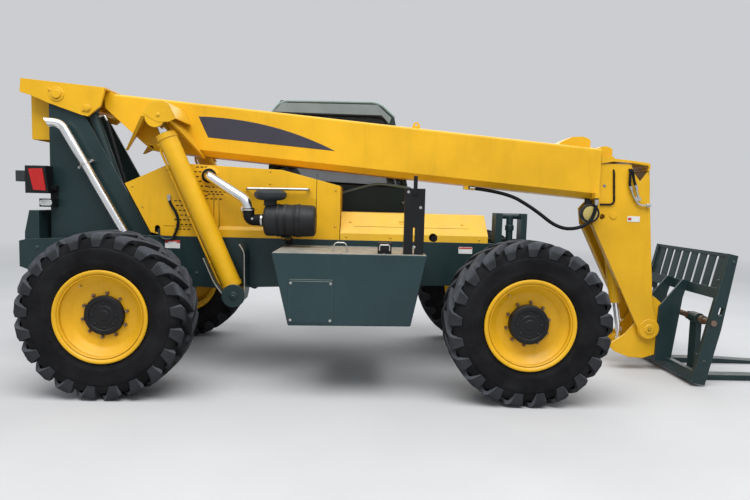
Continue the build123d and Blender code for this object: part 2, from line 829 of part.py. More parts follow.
# Boom head: two tapered plates, a hooded top, a front plate and two rear flanges
head_outline = from_head([
    (0, 1570), (0, 1906), (277, 1906), (309, 1831), (371, 1752), (438, 1846), (452, 1790),
    (560, 604), (635, 402), (535, 302), (468, 340), (-41, 1353), (-60, 1500),
])
head_roof = from_head([
    (0, 1905), (0, 1968), (116, 1969), (117, 1953), (276, 1940), (436, 1921), (449, 1908), (452, 1880),
    (443, 1846), (431, 1850), (437, 1880), (431, 1898), (276, 1918), (116, 1926),
])
cross_hole_x = head_rear + 42
with BuildPart() as head:
    for hand in (-1, 1):
        with BuildSketch(side(hand * (head_half - head_plate / 2))):
            Polygon(*head_outline, align=None)
            with Locations((tilt_x, tilt_z)):
                Circle(100)
            with Locations((cross_hole_x, 1428)):
                Circle(25, mode=Mode.SUBTRACT)
        extrude(amount=head_plate / 2, both=True)
        with BuildSketch(side(hand * (head_half - head_plate - 25))):
            Polygon(*from_head([(250, 776), (263, 790), (-20, 1353), (-41, 1353)]), align=None)
        extrude(amount=25, both=True)
    with BuildSketch(side()):
        Polygon(*head_roof, align=None)
    extrude(amount=head_half + 12, both=True)
    with BuildSketch(side()):
        Polygon(*from_head([(466, 1640), (546, 760), (531, 760), (451, 1640)]), align=None)
    extrude(amount=head_half - head_plate, both=True)
    with BuildSketch(side()):
        Polygon(
            *from_head([(2, 1960), (2, 2050), (30, 2064), (66, 2070), (112, 2056), (130, 2043), (130, 1940)]),
            align=None,
        )
    extrude(amount=cover_half, both=True)
    with BuildSketch(side()):
        with Locations((tilt_x, tilt_z)):
            Circle(tilt_pin_radius)
    extrude(amount=head_half + 10, both=True)
    with BuildSketch(side()):
        with Locations((tilt_top_x, tilt_top_z)):
            Circle(28)
    extrude(amount=head_half + 8, both=True)
write(head, "boom_head")

# Cylinders: a barrel with its foot eye, and a rod with its own eye
lift_x, lift_z = boom_point(lift_eye_u, lift_eye_w)
slave_x, slave_z = boom_point(slave_u, slave_w)
lift_length = hypot(lift_x - lift_foot_x, lift_z - lift_foot_z)
slave_length = hypot(slave_x - slave_foot_x, slave_z - slave_foot_z)
tilt_length = hypot(tilt_top_x - tilt_foot_x, tilt_top_z - tilt_foot_z)
for name, hand in (("left", 1), ("right", -1)):
    foot_plane = along(lift_foot_x, lift_foot_z, lift_x, lift_z, hand * lift_y)
    with BuildPart() as lift_barrel:
        with BuildSketch(foot_plane.offset(60)):
            Circle(lift_barrel_radius)
        extrude(amount=lift_length - 60 - 130)
        with BuildSketch(foot_plane.offset(lift_length - 175)):
            Circle(lift_barrel_radius + 6)
        extrude(amount=45)
        with BuildSketch(side(hand * lift_y)):
            with Locations((lift_foot_x, lift_foot_z)):
                Circle(68)
        extrude(amount=70, both=True)
        with BuildSketch(side(hand * lift_y)):
            with Locations((lift_foot_x, lift_foot_z)):
                Circle(lift_pin_radius)
        extrude(amount=94, both=True)
        with BuildSketch(foot_plane.offset(100)):
            Circle(lift_rod_radius + pin_clearance)
        extrude(amount=lift_length, mode=Mode.SUBTRACT)
    write(lift_barrel, f"lift_barrel_{name}")
    with BuildPart() as lift_rod:
        with BuildSketch(foot_plane.offset(160)):
            Circle(lift_rod_radius)
        extrude(amount=lift_length - 160 - 20)
        with BuildSketch(side(hand * lift_y)):
            with Locations((lift_x, lift_z)):
                Circle(58)
        extrude(amount=50, both=True)
        with BuildSketch(side(hand * lift_y)):
            with Locations((lift_x, lift_z)):
                Circle(lift_pin_radius + pin_clearance)
        extrude(amount=60, both=True, mode=Mode.SUBTRACT)
    write(lift_rod, f"lift_rod_{name}")

slave_plane = along(slave_x, slave_z, slave_foot_x, slave_foot_z, slave_y)
with BuildPart() as slave_barrel:
    with BuildSketch(slave_plane.offset(45)):
        Circle(slave_barrel_radius)
    extrude(amount=745)
    with BuildSketch(side(slave_y)):
        with Locations((slave_x, slave_z)):
            Circle(48)
    extrude(amount=35, both=True)
    with BuildSketch(side(slave_y)):
        with Locations((slave_x, slave_z)):
            Circle(25 + pin_clearance)
    extrude(amount=45, both=True, mode=Mode.SUBTRACT)
    with BuildSketch(slave_plane.offset(100)):
        Circle(slave_rod_radius + pin_clearance)
    extrude(amount=900, mode=Mode.SUBTRACT)
write(slave_barrel, "slave_barrel")
with BuildPart() as slave_rod:
    with BuildSketch(slave_plane.offset(400)):
        Circle(slave_rod_radius)
    extrude(amount=slave_length - 400 - 20)
    with BuildSketch(side(slave_y)):
        with Locations((slave_foot_x, slave_foot_z)):
            Circle(38)
    extrude(amount=30, both=True)
    with BuildSketch(side(slave_y)):
        with Locations((slave_foot_x, slave_foot_z)):
            Circle(20)
    extrude(amount=39, both=True)
write(slave_rod, "slave_rod")

tilt_plane = along(tilt_top_x, tilt_top_z, tilt_foot_x, tilt_foot_z, 0)
with BuildPart() as tilt_barrel:
    with BuildSketch(tilt_plane.offset(35)):
        Circle(tilt_barrel_radius)
    extrude(amount=tilt_barrel_length - 35)
    with BuildSketch(side()):
        with Locations((tilt_top_x, tilt_top_z)):
            Circle(50)
    extrude(amount=50, both=True)
    with BuildSketch(side()):
        with Locations((tilt_top_x, tilt_top_z)):
            Circle(28 + pin_clearance)
    extrude(amount=60, both=True, mode=Mode.SUBTRACT)
    with BuildSketch(tilt_plane.offset(80)):
        Circle(tilt_rod_radius + pin_clearance)
    extrude(amount=900, mode=Mode.SUBTRACT)
write(tilt_barrel, "tilt_barrel")
with BuildPart() as tilt_rod:
    with BuildSketch(tilt_plane.offset(420)):
        Circle(tilt_rod_radius)
    extrude(amount=tilt_length - 420 - 20)
    with BuildSketch(side()):
        with Locations((tilt_foot_x, tilt_foot_z)):
            Circle(42)
    extrude(amount=38, both=True)
write(tilt_rod, "tilt_rod")

# Quick attach: two plates between the head plates, joined by cross bars
attach_outline = from_head([
    (190, 235), (250, 175), (388, 123), (517, 117), (643, 160), (699, 420), (655, 560), (687, 620),
    (590, 700), (540, 640), (450, 470), (340, 340),
])
with BuildPart() as attach:
    for hand in (-1, 1):
        with BuildSketch(side(hand * 112.5)):
            Polygon(*attach_outline, align=None)
            with Locations((tilt_x, tilt_z)):
                Circle(tilt_pin_radius + pin_clearance, mode=Mode.SUBTRACT)
        extrude(amount=12.5, both=True)
        with BuildSketch(side(hand * 72)):
            with Locations((tilt_foot_x, tilt_foot_z)):
                Circle(50)
        extrude(amount=28, both=True)
    with Locations((mid_x + head_rear + 610, 0, 250)):
        Box(40, 210, 150)
write(attach, "quick_attach")

# Fork carriage, leaning forward with the quick attach
lean_c = radians(carriage_lean)


def carriage_point(depth, height):
    """A point on the leaning carriage, depth ahead of the uprights' back and height along them."""
    return (
        head_rear + 715 + depth * cos(lean_c) + height * sin(lean_c),
        38 - depth * sin(lean_c) + height * cos(lean_c),
    )


carriage_plane = Plane(
    origin=(mid_x + carriage_point(0, 0)[0], 0, carriage_point(0, 0)[1]),
    x_dir=(cos(lean_c), 0, -sin(lean_c)), z_dir=(0, -1, 0),
)
with BuildPart() as carriage:
    for hand in (-1, 1):
        with BuildSketch(carriage_plane.offset(hand * (carriage_half - 20))):
            Polygon((0, 0), (120, 0), (120, 500), (80, 1140), (0, 1140), align=None)
        extrude(amount=20, both=True)
        with BuildSketch(side(hand * (125 + seat_gap + 9))):
            Polygon(
                *from_head([(625, 100), (775, 100), (850, 700), (895, 860), (840, 870), (635, 610), (630, 400)]),
                align=None,
            )
        extrude(amount=9, both=True)
    for depth, height, deep, tall in (  # cross tubes: middle of each in depth and height, and its size
        (48, 50, 96, 90), (40, 790, 80, 90), (40, 1125, 60, 30),
    ):
        with BuildSketch(carriage_plane):
            with Locations((depth, height)):
                Rectangle(deep, tall)
        extrude(amount=carriage_half - 30, both=True)
    for index in range(slat_count):
        y = (index - (slat_count - 1) / 2) * slat_pitch
        with BuildSketch(carriage_plane.offset(y)):
            with Locations((25, 970)):
                Rectangle(14, 300)
        extrude(amount=slat_width / 2, both=True)
    with BuildSketch(carriage_plane):
        with Locations((72, 650)):
            SlotOverall(76, 38, rotation=90)
    extrude(amount=carriage_half + 10, both=True, mode=Mode.SUBTRACT)
    with BuildSketch(side()):
        with Locations((shaft_x, shaft_z)):
            Circle(shaft_radius + seat_gap)
    extrude(amount=carriage_half + 10, both=True, mode=Mode.SUBTRACT)
write(carriage, "fork_carriage")
with BuildPart() as shaft:
    with BuildSketch(side()):
        with Locations((shaft_x, shaft_z)):
            Circle(shaft_radius)
    extrude(amount=carriage_half + 15, both=True)
write(shaft, "fork_shaft")

fork_low = 5
for name, y in (("right", fork_near_y), ("left", fork_far_y)):
    with BuildPart() as fork:
        with BuildSketch(side(y)):
            with Locations((shaft_x, shaft_z)):
                Circle(48)
            with BuildLine():
                Polyline(
                    (shaft_x - fork_thick / 2, shaft_z),
                    (shaft_x - fork_thick / 2, fork_low + 40),
                    (shaft_x - fork_thick / 2 + 40, fork_low),
                    (fork_tip, fork_low),
                    (fork_tip, fork_low + 12),
                    (shaft_x + fork_thick / 2 + 500, fork_low + fork_thick),
                    (shaft_x + fork_thick / 2, fork_low + fork_thick),
                    (shaft_x + fork_thick / 2, shaft_z),
                    close=True,
                )
            make_face()
            with Locations((shaft_x, shaft_z)):
                Circle(shaft_radius + pin_clearance, mode=Mode.SUBTRACT)
        extrude(amount=fork_width / 2, both=True)
    write(fork, f"fork_{name}")

# Work lamp under the front of the outer boom, on a strap from the boom's underside
lamp_x = outer_front - 81
lamp_y = -216
lamp_z = 1455
lamp_deep = 41
strap_u = (lamp_x - pivot_x) / cos(lean) + 60
with BuildPart() as lamp:
    with BuildSketch(side(lamp_y)):
        with Locations((lamp_x, lamp_z)):
            Circle(84)
    extrude(amount=-lamp_deep)
    with BuildSketch(side(lamp_y + lamp_deep - 7)):
        Polygon((lamp_x - 22, 1500), (lamp_x + 22, 1500), (lamp_x + 22, 1570), (lamp_x - 22, 1570), align=None)
    extrude(amount=7, both=True)
    with BuildSketch(side(-outer_width / 2 + outer_cut + 15)):
        Polygon((lamp_x - 22, 1500), (lamp_x + 22, 1500), (lamp_x + 22, 1700), (lamp_x - 22, 1700), align=None)
    extrude(amount=7, both=True)
    with Locations((mid_x + lamp_x, (lamp_y + lamp_deep - outer_width / 2 + outer_cut + 22) / 2, 1507)):
        Box(44, 63, 14)
    with BuildSketch(boom_side()):
        Polygon(
            (front_u - 400, outer_bottom - seat_gap), (front_u + 200, outer_bottom - seat_gap),
            (front_u + 200, 300), (front_u - 400, 300), align=None,
        )
    extrude(amount=outer_width, both=True, mode=Mode.SUBTRACT)
write(lamp, "work_lamp")

# Hydraulic hose that hangs in a loop under the front of the outer boom
hose_out_x, hose_out_z = boom_point(hose_start_u + seat_gap, outer_bottom - 20)
hose_points = [
    (hose_out_x, hose_in_y, hose_out_z),
    (1600, hose_in_y, hose_out_z - (1600 - hose_out_x) * tan(lean)),
    (1850, -190, 1490),
    (2070, -235, 1312),
    (2270, -245, 1318),
    (hose_end_x, hose_out_y, 1425),
    (hose_end_x, hose_out_y, hose_end_z),
]
with BuildPart() as boom_hose:
    with BuildLine() as route:
        FilletPolyline(*[(mid_x + x, y, z) for x, y, z in hose_points], radius=5 * hose_size)
    with BuildSketch(Plane(origin=route.line @ 0, z_dir=route.line % 0)):
        Circle(hose_size / 2)
    sweep()
write(boom_hose, "boom_hose")

# Cab: a shell with its windows and doorway cut, panes, door, seat and controls
hinge_x = -545
hinge_y = cab_left + 20
hinge_radius = 8
hinge_heights = (1000, 2000)
cab_outline = [
    (-450, cab_floor), (cab_rear, 1150), (cab_rear, cab_top - 150), (cab_rear + 110, cab_top),
    (450, cab_top), (600, cab_top - 130), (cab_front, 1320), (cab_nose, 1000), (cab_nose, cab_floor),
]
cab_notch_top = frame_top + seat_gap
with BuildPart() as cab:
    with BuildSketch(side(cab_left)):
        Polygon(*cab_outline, align=None)
    extrude(amount=cab_left - cab_right)
    with BuildSketch(side(cab_left - cab_wall)):
        Polygon(*cab_outline, align=None)
        offset(amount=-cab_wall, mode=Mode.REPLACE)
    extrude(amount=cab_left - cab_notch_y - 2 * cab_wall, mode=Mode.SUBTRACT)
    with BuildSketch(side(cab_right + cab_wall)):
        Polygon(*cab_outline, align=None)
        offset(amount=-cab_wall, mode=Mode.REPLACE)
        with Locations((0, cab_notch_top + cab_wall + 1000)):
            Rectangle(4000, 2000, mode=Mode.INTERSECT)
    extrude(amount=-(cab_notch_y - cab_right), mode=Mode.SUBTRACT)
    with Locations((mid_x, (cab_right + cab_notch_y) / 2 - 1, (cab_floor + cab_notch_top) / 2 - 1)):
        Box(3000, cab_notch_y - cab_right + 2, cab_notch_top - cab_floor + 2, mode=Mode.SUBTRACT)
    with BuildSketch(side(cab_right)):
        Polygon((-500, 1700), (-500, 2330), (470, 2330), (560, 2240), (700, 1660), align=None)
    extrude(amount=-cab_wall - 1, mode=Mode.SUBTRACT)
    with BuildSketch(side(cab_left + 1)):
        Polygon((-540, 880), (-540, 2330), (470, 2330), (580, 2240), (745, 1400), (745, 880), align=None)
    extrude(amount=cab_wall + 2, mode=Mode.SUBTRACT)
    for x, low, high in ((cab_front - 160, 1350, 2230), (cab_rear - 10, 1300, 2250)):
        with Locations((mid_x + x, (cab_left + cab_right) / 2, (low + high) / 2)):
            Box(360 if x > 0 else 120, cab_left - cab_right - 2 * cab_wall - 80, high - low, mode=Mode.SUBTRACT)
    for z in hinge_heights:
        with Locations((mid_x + hinge_x - 13, cab_left + 17, z + 15)):
            Box(34, 34.5, 30)
        with Locations((mid_x + hinge_x - 7.5, hinge_y, z + 15)):
            Box(45, 28, 30)
        with Locations((mid_x + hinge_x, hinge_y, z + 15)):
            Cylinder(hinge_radius + pin_clearance, 40, mode=Mode.SUBTRACT)
write(cab, "cab_frame")

def front_wall(z, depth):
    """The point of the sloping front wall at height z and a depth behind its outer face."""
    top_x, top_z = 600, cab_top - 130
    slope = (cab_front - top_x) / (top_z - 1320)
    return top_x + (top_z - z) * slope - depth * hypot(1, slope), z


pane_y = (cab_left + cab_right) / 2
pane_width = cab_left - cab_right - 2 * cab_wall - 80
with BuildPart() as cab_glass:
    with BuildSketch(side(cab_right + 20)):
        Polygon((-500, 1700), (-500, 2330), (470, 2330), (560, 2240), (700, 1660), align=None)
        offset(amount=-seat_gap, mode=Mode.REPLACE)
    extrude(amount=glass_thick / 2, both=True)
    with BuildSketch(side(pane_y)):
        Polygon(
            front_wall(1350 + seat_gap, 17),
            front_wall(2230 - seat_gap, 17),
            front_wall(2230 - seat_gap, 17 + glass_thick),
            front_wall(1350 + seat_gap, 17 + glass_thick),
            align=None,
        )
    extrude(amount=pane_width / 2 - seat_gap, both=True)
    with Locations((mid_x + cab_rear + 20, pane_y, 1775)):
        Box(glass_thick, pane_width - 2 * seat_gap, 950 - 2 * seat_gap)
write(cab_glass, "cab_glass")

door_outline = [(-534, 886), (-534, 2324), (467, 2324), (575, 2237), (739, 1398), (739, 886)]
door_window = [(-460, 1350), (-460, 2250), (440, 2250), (510, 2190), (655, 1400), (655, 1350)]
with BuildPart() as door:
    with BuildSketch(side(cab_left)):
        Polygon(*door_outline, align=None)
        Polygon(*door_window, align=None, mode=Mode.SUBTRACT)
    extrude(amount=35)
    for z in hinge_heights:
        with Locations((mid_x + hinge_x, hinge_y, z + 45)):
            Cylinder(13, 28)
        with Locations((mid_x + hinge_x + 30, hinge_y, z + 45)):
            Box(60, 26, 28)
        with Locations((mid_x + hinge_x + 42, cab_left + 5, z + 45)):
            Box(36, 12, 28)
        with Locations((mid_x + hinge_x, hinge_y, z + 30)):
            Cylinder(hinge_radius, 50)
write(door, "cab_door")
with BuildPart() as door_glass:
    with BuildSketch(side(cab_left - 18)):
        Polygon(*door_window, align=None)
        offset(amount=-seat_gap, mode=Mode.REPLACE)
    extrude(amount=glass_thick / 2, both=True)
write(door_glass, "door_glass")

with BuildPart() as controls:
    with Locations((mid_x + 600, cab_mid_y, (cab_floor + cab_wall + 1420) / 2)):
        Box(180, cab_left - cab_notch_y - 250, 1420 - cab_floor - cab_wall)
    with BuildSketch(
        Plane(origin=(mid_x + 530, cab_mid_y, 1350), x_dir=(0, 1, 0), z_dir=(-0.6, 0, 0.8))
    ):
        Circle(30)
    extrude(amount=180)
    with BuildSketch(
        Plane(origin=(mid_x + 422, cab_mid_y, 1494), x_dir=(0, 1, 0), z_dir=(-0.6, 0, 0.8))
    ):
        Circle(190)
        Circle(160, mode=Mode.SUBTRACT)
        Rectangle(340, 30)
    extrude(amount=25)
write(controls, "cab_controls")

with BuildPart() as seat:
    with Locations((mid_x - 130, cab_mid_y, 1240)):
        Box(500, 480, 140)
    with BuildSketch(side(cab_mid_y)):
        Polygon((-380, 1200), (-380, 1300), (-480, 1850), (-360, 1870), (-270, 1300), align=None)
    extrude(amount=230, both=True)
    with Locations((mid_x - 130, cab_mid_y, 1005)):
        Box(400, 380, 330)
write(seat, "seat")

if __name__ == "__main__":
    print("lift length", round(lift_length, 1), "slave", round(slave_length, 1), "tilt", round(tilt_length, 1))
    print("mid_x", round(mid_x, 2))
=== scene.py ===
# Telehandler, dressed for the render. Metres; X forward, Y to the machine's left, Z up.
import json
from math import cos, pi, radians, sin

import bmesh
import bpy
import numpy as np
from mathutils import Matrix, Vector


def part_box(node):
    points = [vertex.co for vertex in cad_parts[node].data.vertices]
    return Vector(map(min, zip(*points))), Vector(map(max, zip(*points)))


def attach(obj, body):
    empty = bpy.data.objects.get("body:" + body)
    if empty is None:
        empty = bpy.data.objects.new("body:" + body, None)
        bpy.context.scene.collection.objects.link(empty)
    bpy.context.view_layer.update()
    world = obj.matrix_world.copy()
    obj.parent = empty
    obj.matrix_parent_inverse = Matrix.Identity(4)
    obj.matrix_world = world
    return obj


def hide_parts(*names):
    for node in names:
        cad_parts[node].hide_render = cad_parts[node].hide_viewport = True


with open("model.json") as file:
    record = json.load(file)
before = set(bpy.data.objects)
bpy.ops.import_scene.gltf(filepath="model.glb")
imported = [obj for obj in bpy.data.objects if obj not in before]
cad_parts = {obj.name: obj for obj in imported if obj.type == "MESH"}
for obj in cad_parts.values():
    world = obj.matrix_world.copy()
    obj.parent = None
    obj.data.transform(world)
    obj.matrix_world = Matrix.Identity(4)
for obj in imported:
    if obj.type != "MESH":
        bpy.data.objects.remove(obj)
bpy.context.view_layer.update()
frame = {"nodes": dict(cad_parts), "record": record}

print("frame loaded")


# places read from the frame
def middle(node):  # centre of a node's box
    return np.mean(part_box(node), axis=0)


ends = ("front", "rear")
sides = {"left": 1, "right": -1}
frontX = middle("tyre_front_right")[0]
rearX = middle("tyre_rear_right")[0]
midX = (frontX + rearX) / 2  # middle of the wheelbase, from which the tables below count along X
boom = {"pivotX": -2310, "pivotZ": 2355, "lean": radians(4.7)}
rack = {"x": 3165, "z": 38, "lean": radians(12.5)}
across, forward, upward = (0.0, 1.0, 0.0), (1.0, 0.0, 0.0), (0.0, 0.0, 1.0)
toRight = (0.0, -1.0, 0.0)


def at(x, y, z):  # millimetres from the middle of the wheelbase, as metres in the frame
    return np.array([midX + x / 1000, y / 1000, z / 1000])


def leant(place, lean, y, along, over):  # along a direction that dips by lean, and over it
    return at(place[0] + along * cos(lean) + over * sin(lean), y, place[1] - along * sin(lean) + over * cos(lean))


def onBoom(u, y, w):  # u along the boom from its pivot, w above it
    return leant((boom["pivotX"], boom["pivotZ"]), boom["lean"], y, u, w)


def onRack(depth, y, height):  # depth ahead of the carriage's back, height along its uprights
    return leant((rack["x"], rack["z"]), rack["lean"], y, depth, height)


boomAlong = (cos(boom["lean"]), 0.0, -sin(boom["lean"]))
boomUp = (sin(boom["lean"]), 0.0, cos(boom["lean"]))


# materials: short ways to add and link shader nodes, where a value is a number, a colour or a socket
class Shading:
    def __init__(self, label):
        self.material = bpy.data.materials.new(label)
        self.material.use_nodes = True
        self.tree = self.material.node_tree
        self.main = self.tree.nodes["Principled BSDF"]
        self.place = self.add("ShaderNodeTexCoord").outputs["Object"]
        self.edge = None

    def add(self, kind, **values):
        node = self.tree.nodes.new(kind)
        for key, value in values.items():
            setattr(node, key, value)
        return node

    def give(self, socket, value):  # link a socket, or set a number or a colour
        if isinstance(value, bpy.types.NodeSocket):
            self.tree.links.new(value, socket)
        else:
            socket.default_value = (*value, 1) if socket.type == "RGBA" else value

    def feed(self, node, values):  # inputs by name
        sockets = {socket.name: socket for socket in node.inputs if socket.enabled}
        for name, value in values.items():
            self.give(sockets[name], value)

    def surface(self, values):  # inputs of the main shader
        self.feed(self.main, values)

    def noise(self, scale, detail=4.0, rough=0.55, stretch=(1, 1, 1)):  # cloudy pattern, 0 to 1
        mapping, noise = self.add("ShaderNodeMapping"), self.add("ShaderNodeTexNoise")
        self.feed(mapping, {"Vector": self.place, "Scale": stretch})
        self.feed(noise, {"Vector": mapping.outputs["Vector"], "Scale": scale, "Detail": detail, "Roughness": rough})
        return noise.outputs["Fac"]

    def ramp(self, source, *stops):  # two stops along source, each a place and a grey or a colour
        ramp = self.add("ShaderNodeValToRGB")
        for element, (place, colour) in zip(ramp.color_ramp.elements, stops):
            element.position = place
            element.color = (*colour, 1) if isinstance(colour, tuple) else (colour,) * 3 + (1,)
        self.feed(ramp, {"Fac": source})
        return ramp.outputs["Color"]

    def patches(self, low, high, *pattern):  # the cloudy pattern between two stops
        return self.ramp(self.noise(*pattern), low, high)

    def mix(self, amount, first, second):  # first where amount is 0, second where it is 1
        mix = self.add("ShaderNodeMix", data_type="RGBA")
        self.feed(mix, {"Factor": amount, "A": first, "B": second})
        return [socket for socket in mix.outputs if socket.enabled][0]

    def maths(self, operation, first, second=0.0):
        node = self.add("ShaderNodeMath", operation=operation)
        for socket, value in zip(node.inputs, (first, second)):
            self.give(socket, value)
        return node.outputs[0]

    def normal(self):  # the face's own normal
        return self.add("ShaderNodeNewGeometry").outputs["Normal"]

    def rounding(self, radius):  # soft edge: a normal averaged over radius, and 1 where it turns
        bevel = self.add("ShaderNodeBevel", samples=4)
        self.feed(bevel, {"Radius": radius})
        self.edge = bevel.outputs["Normal"]
        dot = self.add("ShaderNodeVectorMath", operation="DOT_PRODUCT")
        self.give(dot.inputs[0], self.edge)
        self.give(dot.inputs[1], self.normal())
        return self.ramp(dot.outputs["Value"], (0.86, 1.0), (0.985, 0.0))

    def facing(self, axis, low, high):  # 1 on faces that look along the axis, 0 on the others
        split = self.add("ShaderNodeSeparateXYZ")
        self.feed(split, {"Vector": self.normal()})
        value = split.outputs[axis]
        if axis != "Z":
            value = self.maths("ABSOLUTE", value)
        return self.ramp(value, (low, 0.0), (high, 1.0))

    def bump(self, source, strength, distance):
        bump = self.add("ShaderNodeBump")
        self.feed(bump, {"Height": source, "Strength": strength, "Distance": distance})
        if self.edge:
            self.feed(bump, {"Normal": self.edge})
        self.surface({"Normal": bump.outputs["Normal"]})


def tinted(colour, times, plus=0.0):  # a colour made deeper or paler
    return tuple(min(1, channel * times + plus) for channel in colour)


# edgeShine is the strength of the painted edge highlight
paintLook = {
    "dust": (0.40, 0.37, 0.32), "orangePeel": 240, "cloud": 1.7, "edge": 0.005, "edgeShine": 0.35,
    "primer": (0.055, 0.045, 0.04), "gloss": 0.26, "coat": 0.05,
}


# sprayed enamel: a slow change of shade, dust where faces look up, runs of grime down the sides, chips worn to primer
# on the edges where asked, a painted highlight that pales the paint where edges turn, and fine peel in the bump
def paint(label, colour, rough=0.32, dust=0.2, chips=0.0, grime=0.25, edgeHighlight=None):
    coat = Shading(label)
    edge = coat.rounding(paintLook["edge"])
    shade = coat.patches((0.32, tinted(colour, 0.84)), (0.68, tinted(colour, 1.06, 0.003)), paintLook["cloud"], 6)
    runs = coat.patches((0.52, 0.0), (0.80, grime), 7, 7, 0.62, (1, 1, 0.16))
    shade = coat.mix(runs, shade, tinted(colour, 0.45))
    specks = coat.patches((0.3, dust * 0.4), (0.72, dust), 9, 8, 0.7)
    shade = coat.mix(coat.maths("MULTIPLY", coat.facing("Z", 0.4, 0.95), specks), shade, paintLook["dust"])
    # painted highlight: where edges turn, the colour is lightened towards the highlight colour, standing in for light
    # caught on the rounded edges
    shine = coat.maths("MULTIPLY", edge, paintLook["edgeShine"])
    shade = coat.mix(shine, shade, edgeHighlight or tinted(colour, 1.25, 0.02))
    if chips:
        spots = coat.patches((0.60, 0.0), (0.64, 1.0), 46, 9, 0.75)
        worn = coat.maths("MULTIPLY", spots, coat.ramp(edge, (0.1, 0.05), (0.5, chips)))
        shade = coat.mix(worn, shade, paintLook["primer"])
    coat.surface({"Base Color": shade, "Roughness": coat.patches((0.3, rough), (0.7, rough + 0.16), 5, 7, 0.6),
                  "Specular IOR Level": paintLook["gloss"], "Coat Weight": paintLook["coat"], "Coat Roughness": 0.2})
    coat.bump(coat.noise(paintLook["orangePeel"], 2), 0.05, 0.002)
    return coat.material


# bare metal: drawn along its length, with faint stains
def metal(label, colour, rough=0.25, stains=0.3, rust=0.0):
    bare = Shading(label)
    shade = bare.patches((0.35, tinted(colour, 1 - stains)), (0.65, colour), 6, 8, 0.65)
    if rust:
        shade = bare.mix(bare.patches((0.45, 0.0), (0.62, rust), 30, 9, 0.7), shade, (0.20, 0.075, 0.03))
    streak = bare.noise(90, 5, 0.6)
    bare.surface({"Metallic": 1.0, "Base Color": shade,
                  "Roughness": bare.ramp(streak, (0.3, rough), (0.7, rough + 0.15))})
    bare.bump(streak, 0.05, 0.001)
    return bare.material


# rubber: near black with a grey bloom and fine grain; where asked, a pale dusty colour on the faces that look aside
# (dust) and on the faces that look up (dust and a painted highlight of the light from above)
def rubber(label, colour, rough=0.7, bloom=0.25, grain=160, upDustAndHighlight=0.0, sideDust=0.0, dustAndHighlightColour=(0.075, 0.080, 0.090)):
    skin = Shading(label)
    shade = skin.mix(skin.patches((0.4, 0.0), (0.75, bloom), 4, 8, 0.65), colour, tinted(colour, 1, 0.020))
    if upDustAndHighlight:
        patch = skin.patches((0.28, upDustAndHighlight * 0.5), (0.62, upDustAndHighlight), 14, 8, 0.7)
        aside = skin.maths("MULTIPLY", skin.facing("Y", 0.4, 0.9), sideDust)
        # faces that look up take the pale colour as dust and as painted highlight; faces that look aside take it as
        # dust
        share = skin.maths("MAXIMUM", skin.facing("Z", 0.0, 0.14), aside)
        shade = skin.mix(skin.maths("MULTIPLY", share, patch), shade, dustAndHighlightColour)
    skin.surface({"Base Color": shade, "Specular IOR Level": 0.12,
                  "Roughness": skin.patches((0.3, rough), (0.7, rough + 0.18), 12, 6)})
    skin.bump(skin.noise(grain, 6, 0.6), 0.2, 0.002)
    return skin.material


# moulded plastic or vinyl: grained, satin
def plastic(label, colour, rough=0.48, grain=420, depth=0.0008):
    skin = Shading(label)
    skin.rounding(0.003)
    skin.surface({"Base Color": skin.patches((0.35, colour), (0.7, tinted(colour, 1.25, 0.004)), 7, 6),
                  "Roughness": skin.patches((0.3, rough), (0.7, rough + 0.12), 11, 4), "Specular IOR Level": 0.3})
    skin.bump(skin.noise(grain, 3), 0.15, depth)
    return skin.material


# window glass: a dark tint that lets light by as far as cover leaves it, with a thin uneven film
def pane(label, tint, cover):
    film = Shading(label)
    film.surface({"Base Color": film.patches((0.3, tint), (0.8, tinted(tint, 1.4)), 4, 6),
                  "Roughness": film.patches((0.4, 0.02), (0.8, 0.10), 3, 7, 0.7), "Specular IOR Level": 0.6,
                  "Alpha": film.patches((0.3, cover), (0.8, min(1, cover + 0.06)), 6, 6, 0.7)})
    return film.material


# a lamp's lens: tinted body, ribbed, with a thin uneven film
def lens(label, tint, clear, rough, ribs):
    body = Shading(label)
    body.surface({"Transmission Weight": clear, "IOR": 1.45,
                  "Base Color": body.patches((0.3, tint), (0.8, tinted(tint, 0.9)), 5, 6),
                  "Roughness": body.patches((0.4, rough), (0.8, rough + 0.1), 3, 7, 0.7)})
    wave = body.add("ShaderNodeTexWave", bands_direction="X")
    body.feed(wave, {"Vector": body.place, "Scale": ribs})
    body.bump(wave.outputs["Fac"], 0.4, 0.002)
    return body.material
